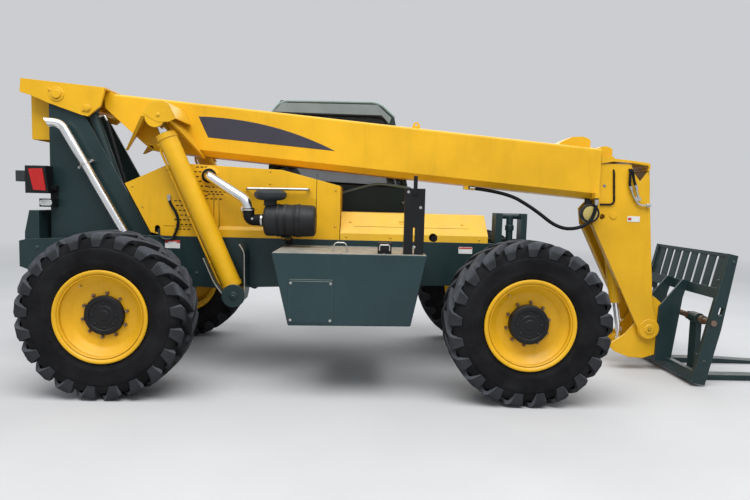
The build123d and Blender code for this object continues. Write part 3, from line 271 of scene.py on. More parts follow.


# where a paint finish is given a second colour, that colour is its painted edge highlight
finishes = {
    "yellow": paint("yellowPaint", (0.735, 0.400, 0.008), chips=0.5, edgeHighlight=(0.95, 0.68, 0.14)),
    "rimYellow": paint("rimPaint", (0.74, 0.40, 0.008), rough=0.34, chips=0.3, grime=0.45),
    "green": paint("darkGreenPaint", (0.0125, 0.030, 0.032), rough=0.33, dust=0.35, chips=0.4, grime=0.4,
                   edgeHighlight=(0.20, 0.25, 0.25)),
    "tank": paint("tankPaint", (0.017, 0.040, 0.045), rough=0.36, dust=0.9, chips=0.3, edgeHighlight=(0.16, 0.21, 0.21)),
    "black": paint("blackPaint", (0.0045, 0.0048, 0.0055), rough=0.42, dust=0.12, chips=0.2,
                   edgeHighlight=(0.030, 0.031, 0.033)),
    # the deck's upward-sloping face: a paler copy of the yellow paint, a painted highlight of the sky light that falls
    # on it
    "deck": paint("deckPaintWithPaintedSkyHighlight", (0.76, 0.445, 0.03), dust=0.3, chips=0.4, edgeHighlight=(0.95, 0.70, 0.2)),
    "trim": paint("trimPaint", (0.20, 0.28, 0.29), rough=0.3, chips=0.2),
    "stripe": paint("stripeGrey", (0.042, 0.040, 0.056), rough=0.35, dust=0.1),
    "plate": paint("blankPlate", (0.72, 0.72, 0.70), rough=0.4, dust=0.1),
    "redBand": paint("redBand", (0.55, 0.06, 0.05), rough=0.4, dust=0.1),
    # near black: the colour of dark joints and soot, and painted shade in openings (slots, vents) drawn as dark plates
    # instead of holes
    "jointAndHoleShade": paint("darkJointsSootAndPaintedHoleShade", (0.006, 0.005, 0.004), rough=0.9, dust=0.0, grime=0.0),
    "steel": metal("wornSteel", (0.42, 0.41, 0.39), rough=0.38, stains=0.45),
    "zinc": metal("zincSteel", (0.62, 0.61, 0.57), rough=0.30, stains=0.25),
    "rusty": metal("rustySteel", (0.33, 0.27, 0.22), rough=0.5, stains=0.5, rust=0.8),
    "chrome": metal("chromedRod", (0.86, 0.87, 0.88), rough=0.08, stains=0.06),
    "tube": metal("polishedTube", (0.84, 0.84, 0.83), rough=0.15, stains=0.12),
    "tyre": rubber("tyreRubber", (0.0055, 0.0055, 0.0062), bloom=0.6),
    # the lugs' upward faces are paled: dust and painted highlight
    "lug": rubber("lugRubber", (0.0085, 0.0085, 0.0095), bloom=0.7, upDustAndHighlight=0.9, sideDust=0.35),
    "hose": rubber("hoseRubber", (0.008, 0.008, 0.009), rough=0.5, bloom=0.2, grain=300),
    "plastic": plastic("blackPlastic", (0.010, 0.0105, 0.0115)),
    "greyPlastic": plastic("greyPlastic", (0.022, 0.026, 0.029)),
    "seat": plastic("seatVinyl", (0.030, 0.031, 0.033), rough=0.55, grain=240, depth=0.0015),
    "glass": pane("cabGlass", (0.018, 0.024, 0.024), 0.30),
    # the roof glass: an opaque pale tint, painted sky seen in the glass
    "skyGlass": pane("roofGlassPaintedSky", (0.15, 0.18, 0.185), 1.0),
    "redLens": lens("redLens", (0.62, 0.012, 0.010), 0.25, 0.12, 60),
    "whiteLens": lens("clearLens", (0.80, 0.82, 0.80), 0.35, 0.10, 70),
    # the work lamp's lens: its yellowish tint is a painted reflection of the yellow boom
    "lampLensPaintedBoomReflection": lens("lampLensPaintedBoomReflection", (0.62, 0.50, 0.16), 0.25, 0.12, 50),
}
slots = {  # each slot of the record with its finishes; the CAD pieces wear the first
    "yellow_paint": ("yellow", "plate", "redBand", "deck"), "dark_paint": ("green", "tank", "trim"),
    "black_paint": ("black", "stripe", "jointAndHoleShade"), "bare_steel": ("steel", "zinc", "rusty", "tube"),
    "chrome_rod": ("chrome",), "rim_paint": ("rimYellow",), "tyre_rubber": ("tyre", "lug"),
    "clear_glass": ("glass", "skyGlass", "redLens", "whiteLens", "lampLensPaintedBoomReflection"),
    "black_plastic": ("plastic", "greyPlastic"), "seat_cover": ("seat",), "hose_rubber": ("hose",),
}
print("materials ready")


# surfaces: each function gives (points, faces), and put() makes one mesh of several
def unit(vector):
    vector = np.asarray(vector, float)
    return vector / np.linalg.norm(vector, axis=-1, keepdims=True)


def gridFaces(rows, columns, closeRows=False, closeColumns=False):  # quads of a grid of rows by columns
    row, column = np.meshgrid(np.arange(rows if closeRows else rows - 1),
                              np.arange(columns if closeColumns else columns - 1), indexing="ij")
    nextRow, nextColumn = (row + 1) % rows, (column + 1) % columns
    corners = [(row, column), (nextRow, column), (nextRow, nextColumn), (row, nextColumn)]
    return np.stack([a * columns + b for a, b in corners], -1).reshape(-1, 4).tolist()


def squareTo(tangent, fixed=None):  # two directions square to each tangent, the first one square to fixed as well
    if fixed is None:
        fixed = np.eye(3)[np.argmin(np.abs(tangent).max(0))]
    aside = unit(np.cross(tangent, fixed))
    return aside, np.cross(aside, tangent)


def spokes(aside, above, count):  # unit vectors all the way round, from aside towards above
    angle = np.linspace(0, 2 * pi, count, endpoint=False)[None, :, None]
    return np.cos(angle) * aside[:, None] + np.sin(angle) * above[:, None]


# (along, radius) pairs in millimetres turned about an axis through place; a ring profile closes on itself
def turned(profile, place, axis=across, count=48, ring=False):
    axis = unit(axis)
    aside = unit(np.cross(axis, np.eye(3)[np.argmin(np.abs(axis))]))
    spoke = spokes(aside[None], np.cross(axis, aside)[None], count)[0][:, None]
    along, radius = np.array(profile, float).T / 1000
    points = place + along[None, :, None] * axis + radius[None, :, None] * spoke
    return points.reshape(-1, 3), gridFaces(count, len(along), True, ring)


def drum(radius, low, high, place, axis, count):  # a plain cylinder from low to high along its axis
    return turned([(low, 0), (low, radius), (high, radius), (high, 0)], place, axis, count)


def cap(radius, tall, place, axis, count, chamfer=(3, 4)):  # a cylinder with its outer rim taken off
    down, inward = chamfer
    return turned([(0, 0), (0, radius), (tall - down, radius), (tall, radius - inward), (tall, 0)], place, axis, count)


def band(inner, outer, half, place, axis, count):  # a ring, half of its width to each side of place
    return turned([(-half, inner), (-half, outer), (half, outer), (half, inner)], place, axis, count, ring=True)


# a round bar of the given radius (metres, or one for each row) carried along a path of points
def swept(path, radius, count=18):
    path = np.asarray(path, float)
    aside, above = squareTo(unit(np.gradient(path, axis=0)))
    radius = np.concatenate([[0], np.broadcast_to(np.asarray(radius, float), len(path)), [0]])[:, None, None]
    path, aside, above = (np.vstack([rows[:1], rows, rows[-1:]]) for rows in (path, aside, above))
    points = path[:, None] + radius * spokes(aside, above, count)
    return points.reshape(-1, 3), gridFaces(len(path), count, False, True)


# corners joined by straight runs, each corner turned into a smooth bend that starts `reach` metres before it
def bent(corners, reach, steps=9):
    corners = np.asarray(corners, float)
    here = corners[1:-1]
    back, ahead = corners[:-2] - here, corners[2:] - here
    shortest = np.minimum(np.linalg.norm(back, axis=1), np.linalg.norm(ahead, axis=1))
    step = np.minimum(reach, 0.48 * shortest)[:, None]
    start, stop = here + unit(back) * step, here + unit(ahead) * step
    t = np.linspace(0, 1, steps)[None, :, None]
    bends = (1 - t) ** 2 * start[:, None] + 2 * t * (1 - t) * here[:, None] + t ** 2 * stop[:, None]
    return np.vstack([corners[:1], bends.reshape(-1, 3), corners[-1:]])


def line(places):  # (x, y, z) places in millimetres, as a path in metres
    return np.array([at(*place) for place in places])


def rod(corners, reach, radius, steps=9):  # a round bar through (x, y, z) places, bent at its corners
    return swept(bent(line(corners), reach, steps), radius)


# a closed bead along the corners, each turned into a bend
def looped(corners, reach=0.05, radius=0.010, steps=7, count=10):
    corners = np.asarray(corners, float)
    start = (corners[:1] + corners[-1:]) / 2
    path = bent(np.vstack([start, corners, start]), reach, steps)[:-1]
    aside, above = squareTo(unit(np.roll(path, -1, 0) - np.roll(path, 1, 0)))
    points = path[:, None] + radius * spokes(aside, above, count)
    return points.reshape(-1, 3), gridFaces(len(path), count, True, True)


def flatStrap(path, wide, thick):  # a flat bar along a path in the side view
    aside = squareTo(unit(np.gradient(path, axis=0)), across)[0]
    corner = np.array([(-1, -1), (1, -1), (1, 1), (-1, 1)])
    points = path[:, None] + aside[:, None] * corner[None, :, :1] * wide / 2
    points = points + np.array(across) * corner[None, :, 1:] * thick / 2
    last = 4 * len(path)
    caps = [[3, 2, 1, 0], list(range(last - 4, last))]
    return points.reshape(-1, 3), gridFaces(len(path), 4, False, True) + caps


# a flat outline in millimetres, laid out along `one` and `two` from place, and given a thickness about it
def slab(outline, place, one=forward, two=upward, thick=4.0):
    outline = np.array(outline, float) / 1000
    normal = np.cross(one, two)
    flat = place + outline[:, :1] * np.array(one) + outline[:, 1:] * np.array(two)
    points = np.vstack([flat - normal * thick / 2000, flat + normal * thick / 2000])
    ring, count = np.arange(len(outline)), len(outline)
    following = (ring + 1) % count
    walls = np.stack([ring, following, following + count, ring + count], -1).tolist()
    return points, walls + [ring[::-1].tolist(), (ring + count).tolist()]


def sideSlab(outline, y, thick=4.0):  # an outline of (x, z) places in the side view, about the plane at y
    return slab(outline, at(0, y, 0), thick=thick)


def bar(long, tall, place, one=forward, two=upward, thick=4.0):  # a square-cornered slab about place
    a, b = long / 2, tall / 2
    return slab([(-a, -b), (a, -b), (a, b), (-a, b)], place, one, two, thick)


def block(x, y, z, long, wide, tall):  # a box about (x, y, z)
    return bar(long, tall, at(x, y, z), thick=wide)


def lozenge(long, tall, corner, steps=6):  # outline of a rectangle with round corners
    turn = np.linspace(0, pi / 2, steps)
    corner = min(corner, long / 2, tall / 2)
    quarters = []
    for index, (a, b) in enumerate(((1, 1), (-1, 1), (-1, -1), (1, -1))):
        angle = turn + index * pi / 2
        quarters.append(np.stack([a * (long / 2 - corner) + corner * np.cos(angle),
                                  b * (tall / 2 - corner) + corner * np.sin(angle)], -1))
    return np.vstack(quarters)


def label(x, z, long, tall, corner, y, thick):  # a round-cornered plate on a side
    return sideSlab(lozenge(long, tall, corner) + (x, z), y, thick)


def copies(part, places):  # the same part set at each of several places
    points, faces = part
    places = np.asarray(places, float).reshape(-1, 3)
    many = (points[None] + places[:, None]).reshape(-1, 3)
    return many, [[i + len(points) * k for i in face] for k in range(len(places)) for face in faces]


# bolt heads that stand out along axis; boltsAt() takes (x, y, z) places in millimetres
def bolts(places, axis=across, radius=10.0, tall=8.0, washer=True):
    head = [(0, 0), (0, radius), (tall * 0.75, radius), (tall, radius * 0.78), (tall, 0)]
    if washer:
        head = [(0, 0), (0, radius * 1.5), (tall * 0.25, radius * 1.5), (tall * 0.25, radius)] + head[2:]
    return copies(turned(head, np.zeros(3), axis, 6), places)


def boltsAt(places, axis, radius, tall):
    return bolts(line(places), axis, radius, tall)


def made(name, data):  # an object in the scene
    thing = bpy.data.objects.new(name, data)
    bpy.context.scene.collection.objects.link(thing)
    return thing


def put(name, parts, finish, body="chassis", smooth=38.0, bevel=0.0, hides=()):
    points, faces, count = [], [], 0
    for partPoints, partFaces in parts:
        points.append(partPoints)
        faces += [[i + count for i in face] for face in partFaces]
        count += len(partPoints)
    mesh = bpy.data.meshes.new(name)
    mesh.from_pydata(np.vstack(points).tolist(), [], faces)
    work = bmesh.new()
    work.from_mesh(mesh)
    bmesh.ops.remove_doubles(work, verts=work.verts, dist=2e-6)
    bmesh.ops.recalc_face_normals(work, faces=work.faces)
    work.to_mesh(mesh)
    work.free()
    mesh.shade_smooth()
    mesh.set_sharp_from_angle(angle=radians(smooth))
    mesh.materials.append(finishes[finish])
    piece = made(name, mesh)
    if bevel:
        soft = piece.modifiers.new("softEdges", "BEVEL")
        soft.width = bevel / 1000
        soft.segments = 2
        soft.limit_method = "ANGLE"
        soft.angle_limit = radians(40)
    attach(piece, body)
    if hides:
        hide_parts(*hides)
    return piece


# tyres: a smooth carcass, and lugs that run from past the middle of the tread over the shoulder
tyre = {  # metres, apart from counts, the skew in radians and the shares of a lug's run
    "lugs": 21, "outer": 0.6245, "height": 0.034, "sunk": 0.006, "skew": 0.30, "lean": 0.028, "skewEnd": 0.72,
    "past": 0.022, "shoulder": 0.178, "sideDrop": 0.105, "floor": 0.588, "round": 144, "rows": 15,
    "treadEnd": 0.66, "dropFrom": 0.62, "crown": 0.004, "tuck": 0.012, "bulge": 0.006, "soft": 0.005,
    "halves": ([0, 0.35, 0.60, 0.70, 1], [0.029, 0.034, 0.047, 0.056, 0.036]),  # half width along the run
}
carcass = [  # offset from the tyre's middle and radius, from the crown to the bead, millimetres
    (0, 588), (70, 587), (140, 581), (160, 570), (174, 545), (179, 520), (181, 508), (187, 503), (190, 492),
    (190.5, 470), (189, 440), (183, 402), (184, 396), (180, 388), (170, 366), (164, 352), (158, 346), (150, 304),
]


# a lug is a bar whose section is a trapezium with softened corners; each row of its grid is one section,
# and the rows run over the tread and then down the sidewall
def lugShape(side):
    run = np.linspace(0, 1, tyre["rows"])
    tread = run / tyre["treadEnd"]  # below 1 on the tread, above it on the sidewall
    w = np.where(tread < 1, -tyre["past"] + (tyre["shoulder"] + 0.030) * tread, tyre["shoulder"] + 0.008)
    drop = np.clip((run - tyre["dropFrom"]) / (1 - tyre["dropFrom"]), 0, 1)
    top = tyre["outer"] - tyre["crown"] * (w / 0.18) ** 2 - tyre["sideDrop"] * drop ** 1.25
    w = w - tyre["tuck"] * np.where(tread < 1, tread, 1 - drop) + tyre["bulge"] * np.sin(pi * drop) - 0.001 * drop
    down = drop > 0
    rootW = np.where(down, w - tyre["past"], w)
    rootR = np.minimum(top - tyre["sunk"] - np.where(down, 0, tyre["height"]), tyre["floor"])
    skew = tyre["skew"] * np.clip(1 - run / tyre["skewEnd"], 0, 1) ** 0.95 - tyre["lean"] * drop
    half = np.interp(run, *tyre["halves"])
    offset = np.array([-1.16, -1.0, -0.90, 0.90, 1.0, 1.16]) * half[:, None] / tyre["outer"]
    lower, inset = np.where(down, 0.0, tyre["sunk"]), np.where(down, tyre["soft"], 0.0)
    radius = np.stack([rootR, top - lower, top, top, top - lower, rootR], 1)
    wide = side * np.stack([rootW, w - inset, w, w, w - inset, rootW], 1)
    return skew[:, None] + offset, radius, wide


def tyrePieces(wheel, body, centre):
    half = np.array(carcass, float)
    profile = np.vstack([half[::-1] * (-1, 1), half[1:]])
    put(f"tyreSkin_{wheel}", [turned(profile, centre, across, tyre["round"], ring=True)], "tyre", body,
        hides=[f"tyre_{wheel}"])
    lugs = []
    for flank in (-1, 1):
        angle, radius, wide = lugShape(flank)
        rows, columns = angle.shape
        caps = [list(range(columns))[::-1], [rows * columns - columns + i for i in range(columns)]]
        for index in range(tyre["lugs"]):
            turn = angle + 2 * pi * (index + (0.5 if flank > 0 else 0)) / tyre["lugs"]
            points = centre + np.stack([radius * np.sin(turn), wide, radius * np.cos(turn)], -1)
            lugs.append((points.reshape(-1, 3), gridFaces(rows, columns) + caps))
    put(f"tyreLugs_{wheel}", lugs, "lug", body, smooth=30)


# rims: one closed profile turned about the axle, hub drum, studs with nuts, valve and lock ring
rim = {
    "studs": 10, "studRing": 165, "studOut": 30, "studTurn": 0.2, "disc": 77, "hub": 148,
    "hubOut": {"front": 151, "rear": 112}, "hubBolts": 8, "hubRing": 91, "valveRing": 268, "valveTurn": 2.2,
}
rimProfile = [  # offset out from the wheel's middle and radius
    (163, 345), (171, 346), (178, 343), (181, 337), (180, 328), (174, 318), (166, 312), (150, 308), (146, 303),
    (138, 300), (128, 299), (122, 294), (112, 280), (98, 262), (86, 248), (80, 240), (77, 231), (77, 100),
    (62, 100), (62, 228), (66, 244), (76, 262), (92, 280), (100, 289), (60, 291), (-20, 284), (-120, 284),
    (-155, 296), (-166, 312), (-178, 330), (-180, 340), (-172, 346), (-163, 345), (-163, 301), (163, 301),
]
lockProfile = [(166, 300), (172, 304), (172, 309), (160, 309), (154, 304)]
valveProfile = [(-12, 0), (-12, 6), (20, 6), (22, 4.5), (34, 4.5), (36, 0)]


def rimPieces(wheel, body, centre, outward, out):
    def seats(count, radius, turn, depth):  # places round the wheel, depth out from its middle
        angle = np.linspace(0, 2 * pi, count + 1)[:-1] + turn
        ring = np.stack([np.cos(angle) * radius, 0 * angle, np.sin(angle) * radius], -1) / 1000
        return centre + ring + np.array(outward) * depth / 1000

    put(f"rimSkin_{wheel}", [turned(rimProfile, centre, outward, 96, ring=True)], "rimYellow", body, smooth=24,
        hides=[f"rim_{wheel}"])
    hub, end = rim["hub"], rim["studOut"]
    profile = [
        (-8, 0), (-8, hub - 10), (60, hub - 6), (84, hub), (out - 14, hub), (out - 5, hub - 5), (out, hub - 14),
        (out, 112), (out - 7, 108), (out - 7, 74), (out - 3, 70), (out - 3, 40), (out + 2, 36), (out + 2, 0),
    ]
    put(f"hubDrum_{wheel}", [turned(profile, centre, outward, 64),
                             bolts(seats(rim["hubBolts"], rim["hubRing"], 0, out - 7), outward, 8, 7)],
        "black", body, smooth=30)
    stud = turned([(0, 0), (0, 13), (14, 13), (16, 11), (16, 7), (end, 7), (end + 2, 5), (end + 2, 0)],
                  np.zeros(3), outward, 12)
    put(f"wheelStuds_{wheel}", [copies(stud, seats(rim["studs"], rim["studRing"], rim["studTurn"], rim["disc"]))],
        "rusty", body)
    put(f"tyreValve_{wheel}", [turned(valveProfile, seats(1, rim["valveRing"], rim["valveTurn"], 103)[0], outward, 12)],
        "zinc", body)
    put(f"lockRing_{wheel}", [turned(lockProfile, centre, outward, 72, ring=True)], "rimYellow", body)


for end in ends:
    for side, hand in sides.items():
        wheel, body = f"{end}_{side}", f"wheel_{end}_{side}"
        tyrePieces(wheel, body, middle(f"tyre_{wheel}"))
        rimPieces(wheel, body, middle(f"tyre_{wheel}"), (0.0, float(hand), 0.0), rim["hubOut"][end])
print("wheels ready")

# CAD pieces keep their shape and get their finish
nodeFinish = {"side_tank": "tank", "front_deck": "deck", "mirror_post": "black", "fork_shaft": "rusty"}
slotOfNode = {part["node"]: part["material_slot"] for part in frame["record"]["subparts"]}
for name, node in frame["nodes"].items():
    node.data.materials.clear()
    node.data.materials.append(finishes[nodeFinish.get(name, slots[slotOfNode[name]][0])])
print("nodes painted")

# exhaust: a hollow pipe with its mouth cut on the slant, clamped to the tower
exhaust = {
    "path": [(-1678, -335, 1100), (-1738, -335, 1200), (-2250, -352, 2104), (-2356, -400, 2108)],
    "radius": 38, "wall": 3, "slant": -0.55, "clamp": (-2061, -348, 1768), "ears": 0.062,
}
pipePath = bent(line(exhaust["path"]), 0.13, 12)


def hollowPipe(path, outer, inner, slant, count=28):  # outer wall, then inner wall back, joined at both ends
    tangent = unit(np.gradient(path, axis=0))
    aside, above = squareTo(tangent, across)
    walls = []
    for radius in (outer, inner):
        wall = path[:, None] + spokes(aside, above, count) * radius / 1000
        wall[-1] += slant * np.sum((wall[-1] - path[-1]) * aside[-1], -1, keepdims=True) * tangent[-1]
        walls.append(wall)
    points = np.vstack([walls[0], walls[1][::-1]])
    return points.reshape(-1, 3), gridFaces(len(points), count, True, True)


pipeRadius = exhaust["radius"]
put("exhaustTube", [hollowPipe(pipePath, pipeRadius, pipeRadius - exhaust["wall"], exhaust["slant"])], "tube",
    hides=["exhaust_pipe"])
sootEnd = pipePath[-1] - 0.022 * unit(pipePath[-1] - pipePath[-2])
put("exhaustSoot", [swept(np.vstack([pipePath[:-1], sootEnd]), (pipeRadius - 3.5) / 1000)], "jointAndHoleShade")
clampAt = at(*exhaust["clamp"])
pipeWay = unit(at(*exhaust["path"][2]) - at(*exhaust["path"][1]))
flangeWay = unit(np.cross(pipeWay, across))
ears = [clampAt + flangeWay * reach for reach in (-exhaust["ears"], exhaust["ears"])]
put("exhaustClamp", [
    band(37, 43, 9, clampAt, pipeWay, 36), slab(lozenge(150, 14, 6), clampAt + (0, 0.018, 0), flangeWay, across, 10),
    *[swept([ear + (0, 0.03, 0), ear + (0, 0.078, 0)], 0.006) for ear in ears],
    bolts([ear + (0, 0.012, 0) for ear in ears], toRight, 8, 8),
], "zinc")
put("exhaustStay", [block(-2050, -292, 1768, 40, 40, 90)], "green", bevel=2)

# engine hood: slots in staggered rows, folds, rivets, grab rod, latch, and the collar where the intake pipe leaves
hood = {"right": -400, "left": 260, "slot": (24, 9), "slotPitch": (37, 40), "collar": (-985, 1693), "clear": 78}
slotBoxes = {  # x0, z0, x1, z1 of each field of slots
    "right": [(-1278, 1236, -1150, 1500), (-1108, 1486, -1010, 1790), (-1010, 1560, -850, 1606),
              (-1010, 1500, -880, 1545)],
    "left": [(-1278, 1300, -880, 1640), (-560, 1300, -180, 1640)],
}


def slotField(y, boxes, keepOut=(0, 0, 0)):  # places of slots inside boxes, clear of a circle (x, z, radius)
    places = []
    dx, dz = hood["slotPitch"]
    for x0, z0, x1, z1 in boxes:
        row, column = np.meshgrid(np.arange(z0, z1, dz), np.arange(x0, x1, dx), indexing="ij")
        column = column + (np.arange(len(row)) % 2)[:, None] * dx * 0.4
        keep = np.hypot(column - keepOut[0], row - keepOut[1]) > keepOut[2]
        places += [at(x, y, z) for x, z in zip(column[keep], row[keep])]
    return places


# the hood's slots are dark plates on its face: painted shade standing in for the open holes
slotPart = slab(lozenge(*hood["slot"], 4.5), np.zeros(3), thick=1.6)
hoodY = hood["right"]
put("hoodSlots", [copies(slotPart, slotField(hoodY - 0.4, slotBoxes["right"], (*hood["collar"], hood["clear"]))),
                  copies(slotPart, slotField(hood["left"] + 0.4, slotBoxes["left"]))], "jointAndHoleShade")
seams = [(-956, 1346, -952, 1530), (-1380, 1262, -914, 1259), (-84, 1235, -80, 1742)]
put("hoodSeams", [sideSlab([(x0, z0), (x1, z0), (x1, z1), (x0, z1)], hoodY - 0.5, 1.2) for x0, z0, x1, z1 in seams],
    "jointAndHoleShade")
rivets = [(-479, 1745), (-478, 1641), (80, 1600), (80, 1290), (-1640, 1590), (-1345, 1735), (-1560, 1420)]
put("hoodRivets", [boltsAt([(x, hoodY, z) for x, z in rivets], toRight, 7, 5),
                   boltsAt([(x, hood["left"], z) for x in (-1340, -620, 60) for z in (1260, 1580)], across, 7, 5)],
    "yellow")
put("hoodDisc", [cap(26, 3, at(-699, hoodY, 1420), toRight, 32, (1, 4)), label(-1305, 1106, 70, 40, 6, -401.5, 2.5)],
    "plate")
put("hoodRod", [rod([(-668, -402, 1594), (-668, -446, 1594), (-150, -446, 1600), (-150, -402, 1600)], 0.03, 0.012)],
    "zinc")
for name, finish, profile in (
    ("hoodCollar", "yellow", [(-2, 44), (-2, 76), (10, 76), (14, 70), (14, 62), (30, 58), (34, 52), (34, 44)]),
    ("collarRing", "hose", [(30, 38), (30, 60), (40, 62), (52, 60), (58, 52), (58, 38)]),
):
    put(name, [turned(profile, at(hood["collar"][0], hoodY, hood["collar"][1]), toRight, 48, ring=True)], finish)
strapLine = bent(line([(-1327, -412, 1478), (-1310, -418, 1440), (-1268, -424, 1380), (-1246, -424, 1312),
                       (-1256, -420, 1240), (-1296, -412, 1160)]), 0.04, 6)
put("latchStrap", [flatStrap(strapLine, 0.022, 0.008)], "hose")
put("latchEye", [band(7, 16, 6, at(-1330, -412, 1512), across, 28),
                 flatStrap(line([(-1330, -410, 1500), (-1327, -412, 1474)]), 0.020, 0.009),
                 boltsAt([(-1330, -400, 1512)], toRight, 9, 14)], "zinc")
put("latchHook", [rod([(-1296, -414, 1168), (-1318, -414, 1146), (-1380, -414, 1146), (-1414, -414, 1180),
                       (-1420, -404, 1236)], 0.03, 0.008)], "green")
print("hood ready")

# intake pipe, elbow and air cleaner; the cap's profile starts over the cleaner's own neck
cleaner = {"y": -620, "z": 1340, "rear": -495, "neckX": -440, "latch": 286}
cleanY, cleanZ, neckX = cleaner["y"], cleaner["z"], cleaner["neckX"]
intake = bent(line([(-985, -402, 1693), (-985, -470, 1693), (-640, -618, 1500), (-612, -620, 1400)]), 0.075, 12)
put("intakeTube", [swept(intake, 0.041, 32)], "tube", hides=["intake_pipe"])
elbow = bent(line([(-618, cleanY, 1432), (-612, cleanY, 1338), (-496, cleanY, 1338)]), 0.075, 14)
ribbed = 0.047 + 0.0028 * np.cos(np.linspace(0, 9 * 2 * pi, len(elbow)))
put("intakeElbow", [swept(elbow, ribbed, 32)], "hose")
put("intakeClamps", [band(46, 51.5, 7, at(-508, cleanY, 1338), forward, 40),
                     band(46, 51.5, 7, at(-617, cleanY, 1420), upward, 40),
                     block(-508, cleanY - 54, 1338, 14, 10, 20),
                     drum(9, -12, 14, at(-577, cleanY - 48, 1350), toRight, 20)], "zinc")
bodyProfile = [
    (0, 0), (0, 48), (10, 50), (12, 108), (18, 120), (26, 127), (40, 130), (246, 130), (250, 134), (258, 134),
    (262, 130), (268, 130), (272, 136), (300, 136), (304, 131), (312, 131), (400, 128), (418, 120), (427, 104),
    (430, 60), (426, 50), (426, 0),
]
neckProfile = [(118, 0), (118, 56), (132, 54), (176, 52), (196, 52), (196, 0)]
capProfile = [(160, 0), (160, 62), (164, 96), (178, 122), (196, 132), (222, 130), (240, 112), (249, 70), (252, 20),
              (252, 0)]
put("cleanerBody", [turned(bodyProfile, at(cleaner["rear"], cleanY, cleanZ), forward, 72),
                    *[block(cleaner["rear"] + cleaner["latch"], cleanY - s * 137, cleanZ + 20, 34, 10, 26)
                      for s in (1, -1)],
                    turned(neckProfile, at(neckX, cleanY, cleanZ), upward, 48)],
    "plastic", smooth=30, hides=["air_cleaner"])
put("cleanerCap", [turned(capProfile, at(neckX, cleanY, cleanZ), upward, 64)], "greyPlastic")
put("cleanerBands", [
    *[band(130, 134, 11, at(x, cleanY, cleanZ), forward, 64) for x in (-370, -312)],
    block(-312, cleanY + 10, 1205, 70, 120, 12), block(-312, -510, 1178, 60, 220, 8),
    block(-312, -404, 1160, 60, 8, 60), boltsAt([(-330, -408, 1150), (-296, -408, 1150)], toRight, 8, 7),
], "black", bevel=1)
print("intake ready")

# side tank, deck and mirror post
tank = {"face": -1120, "panel": (-57, 760, 340, 332), "rim": 26}
tankY = tank["face"]
x, z, long, tall = tank["panel"]
put("tankPanel", [label(x, z, long, tall, 22, tankY, 8),
                  label(x, z, long - tank["rim"], tall - tank["rim"], 16, tankY - 5, 4)], "tank", bevel=2)
put("tankScrews", [boltsAt([(x + a, tankY - 6, z + b) for a in (-150, 146) for b in (137, -140)], toRight, 7, 6),
                   boltsAt([(a, tankY + 12, 1124) for a in (-160, 160, 480, 700)], upward, 7, 5)], "zinc")
put("tankLatch", [block(484, -1052, 1166, 104, 56, 84), block(484, -1086, 1172, 60, 14, 40)], "black", bevel=4)
put("tankLatchBar", [rod([(446, -1084, 1150), (446, -1094, 1192), (520, -1094, 1192), (520, -1084, 1150)],
                         0.012, 0.005)], "zinc")
put("tankLoop", [rod([(98, -1000, 1122), (104, -1000, 1196), (196, -1000, 1196), (202, -1000, 1122)], 0.03, 0.005)],
    "zinc")
deck = {"foot": (-400, 1235), "rise": (200, 177), "slope": 267.1}  # its sloping side: lower edge, rise and length
deckUp = (0.0, deck["rise"][0] / deck["slope"], deck["rise"][1] / deck["slope"])
deckOut = (0.0, -deckUp[2], deckUp[1])


def onDeck(x, share):  # on the deck's sloping side: 0 at its lower edge, 1 at its upper edge
    return at(x, deck["foot"][0] + deck["rise"][0] * share, deck["foot"][1] + deck["rise"][1] * share)


put("deckBolts", [bolts([onDeck(a, 0.52) for a in (209, 1193)], deckOut, 9, 6),
                  boltsAt([(a, -400, 1205) for a in (180, 560, 1330)], toRight, 7, 5)], "yellow")
put("deckSeams", [bar(1010, 3, onDeck(745, 0.33), forward, deckUp, 1.6),
                  slab(lozenge(46, 10, 5), onDeck(659, 0.58), forward, deckUp, 1.6),
                  drum(27, 0, 1.6, at(938, -400, 1206), toRight, 48)], "jointAndHoleShade")
put("deckTab", [slab(lozenge(52, 26, 5), onDeck(659, 0.52), forward, deckUp, 5)], "yellow", bevel=1)
put("mirrorBolts", [boltsAt([(743, -1080, 1476), (703, -1080, 1182), (650, -1080, 1590)], toRight, 8, 6)], "zinc")
put("mirrorHinge", [drum(15, -70, 70, at(700, -1088, 1640), upward, 24), block(700, -1066, 1590, 60, 34, 50)],
    "black", bevel=2)
put("framePlates", [label(1213, 1110, 120, 58, 5, -401.2, 2.4), label(-1305, 1092, 127, 44, 5, -401.2, 2.4)], "plate")
put("frameBand", [label(-1305, 1128, 127, 22, 4, -401.2, 2.4), label(1213, 1130, 116, 14, 3, -402.6, 1.4)], "redBand")
frameHeads = [(-2450, 1050), (-2450, 930), (-2250, 1050), (-1480, 1120), (-1480, 900), (1700, 1100), (1850, 900),
              (60, 1120), (60, 900), (-1100, 860)]
put("frameBolts", [boltsAt([(x, s * 400, z) for x, z in frameHeads], (0, s, 0), 11, 9) for s in (-1, 1)], "green")
print("tank and deck ready")

# lift cylinders: webs up both sides of each foot, lines, seals, and the folded cap over each upper eye
lift = {
    "foot": (-740, 705), "way": (-0.40495, 0.91434), "y": 500,
    "webs": ([(-992, 1012), (-905, 812), (-832, 712), (-812, 668)],
             [(-668, 662), (-650, 742), (-652, 900), (-654, 1070), (-697, 1134)]),
    "capFace": [(-1474, 2178), (-1404, 2252), (-1366, 2270), (-1302, 2266), (-1270, 2246), (-1214, 2134),
                (-1262, 2110), (-1348, 2104), (-1420, 2140)],
    "capRoof": [(-1474, 2184), (-1408, 2256), (-1366, 2275), (-1302, 2271), (-1266, 2250), (-1208, 2136)],
}
liftWay = np.array([lift["way"][0], 0, lift["way"][1]])


def onLift(s, hand, off=0.0, out=0.0):  # s along the cylinder from its foot, off to the rear, out from its mid plane
    dx, dz = lift["way"]
    return at(lift["foot"][0] + s * dx - off * dz, hand * (lift["y"] + out), lift["foot"][1] + s * dz + off * dx)


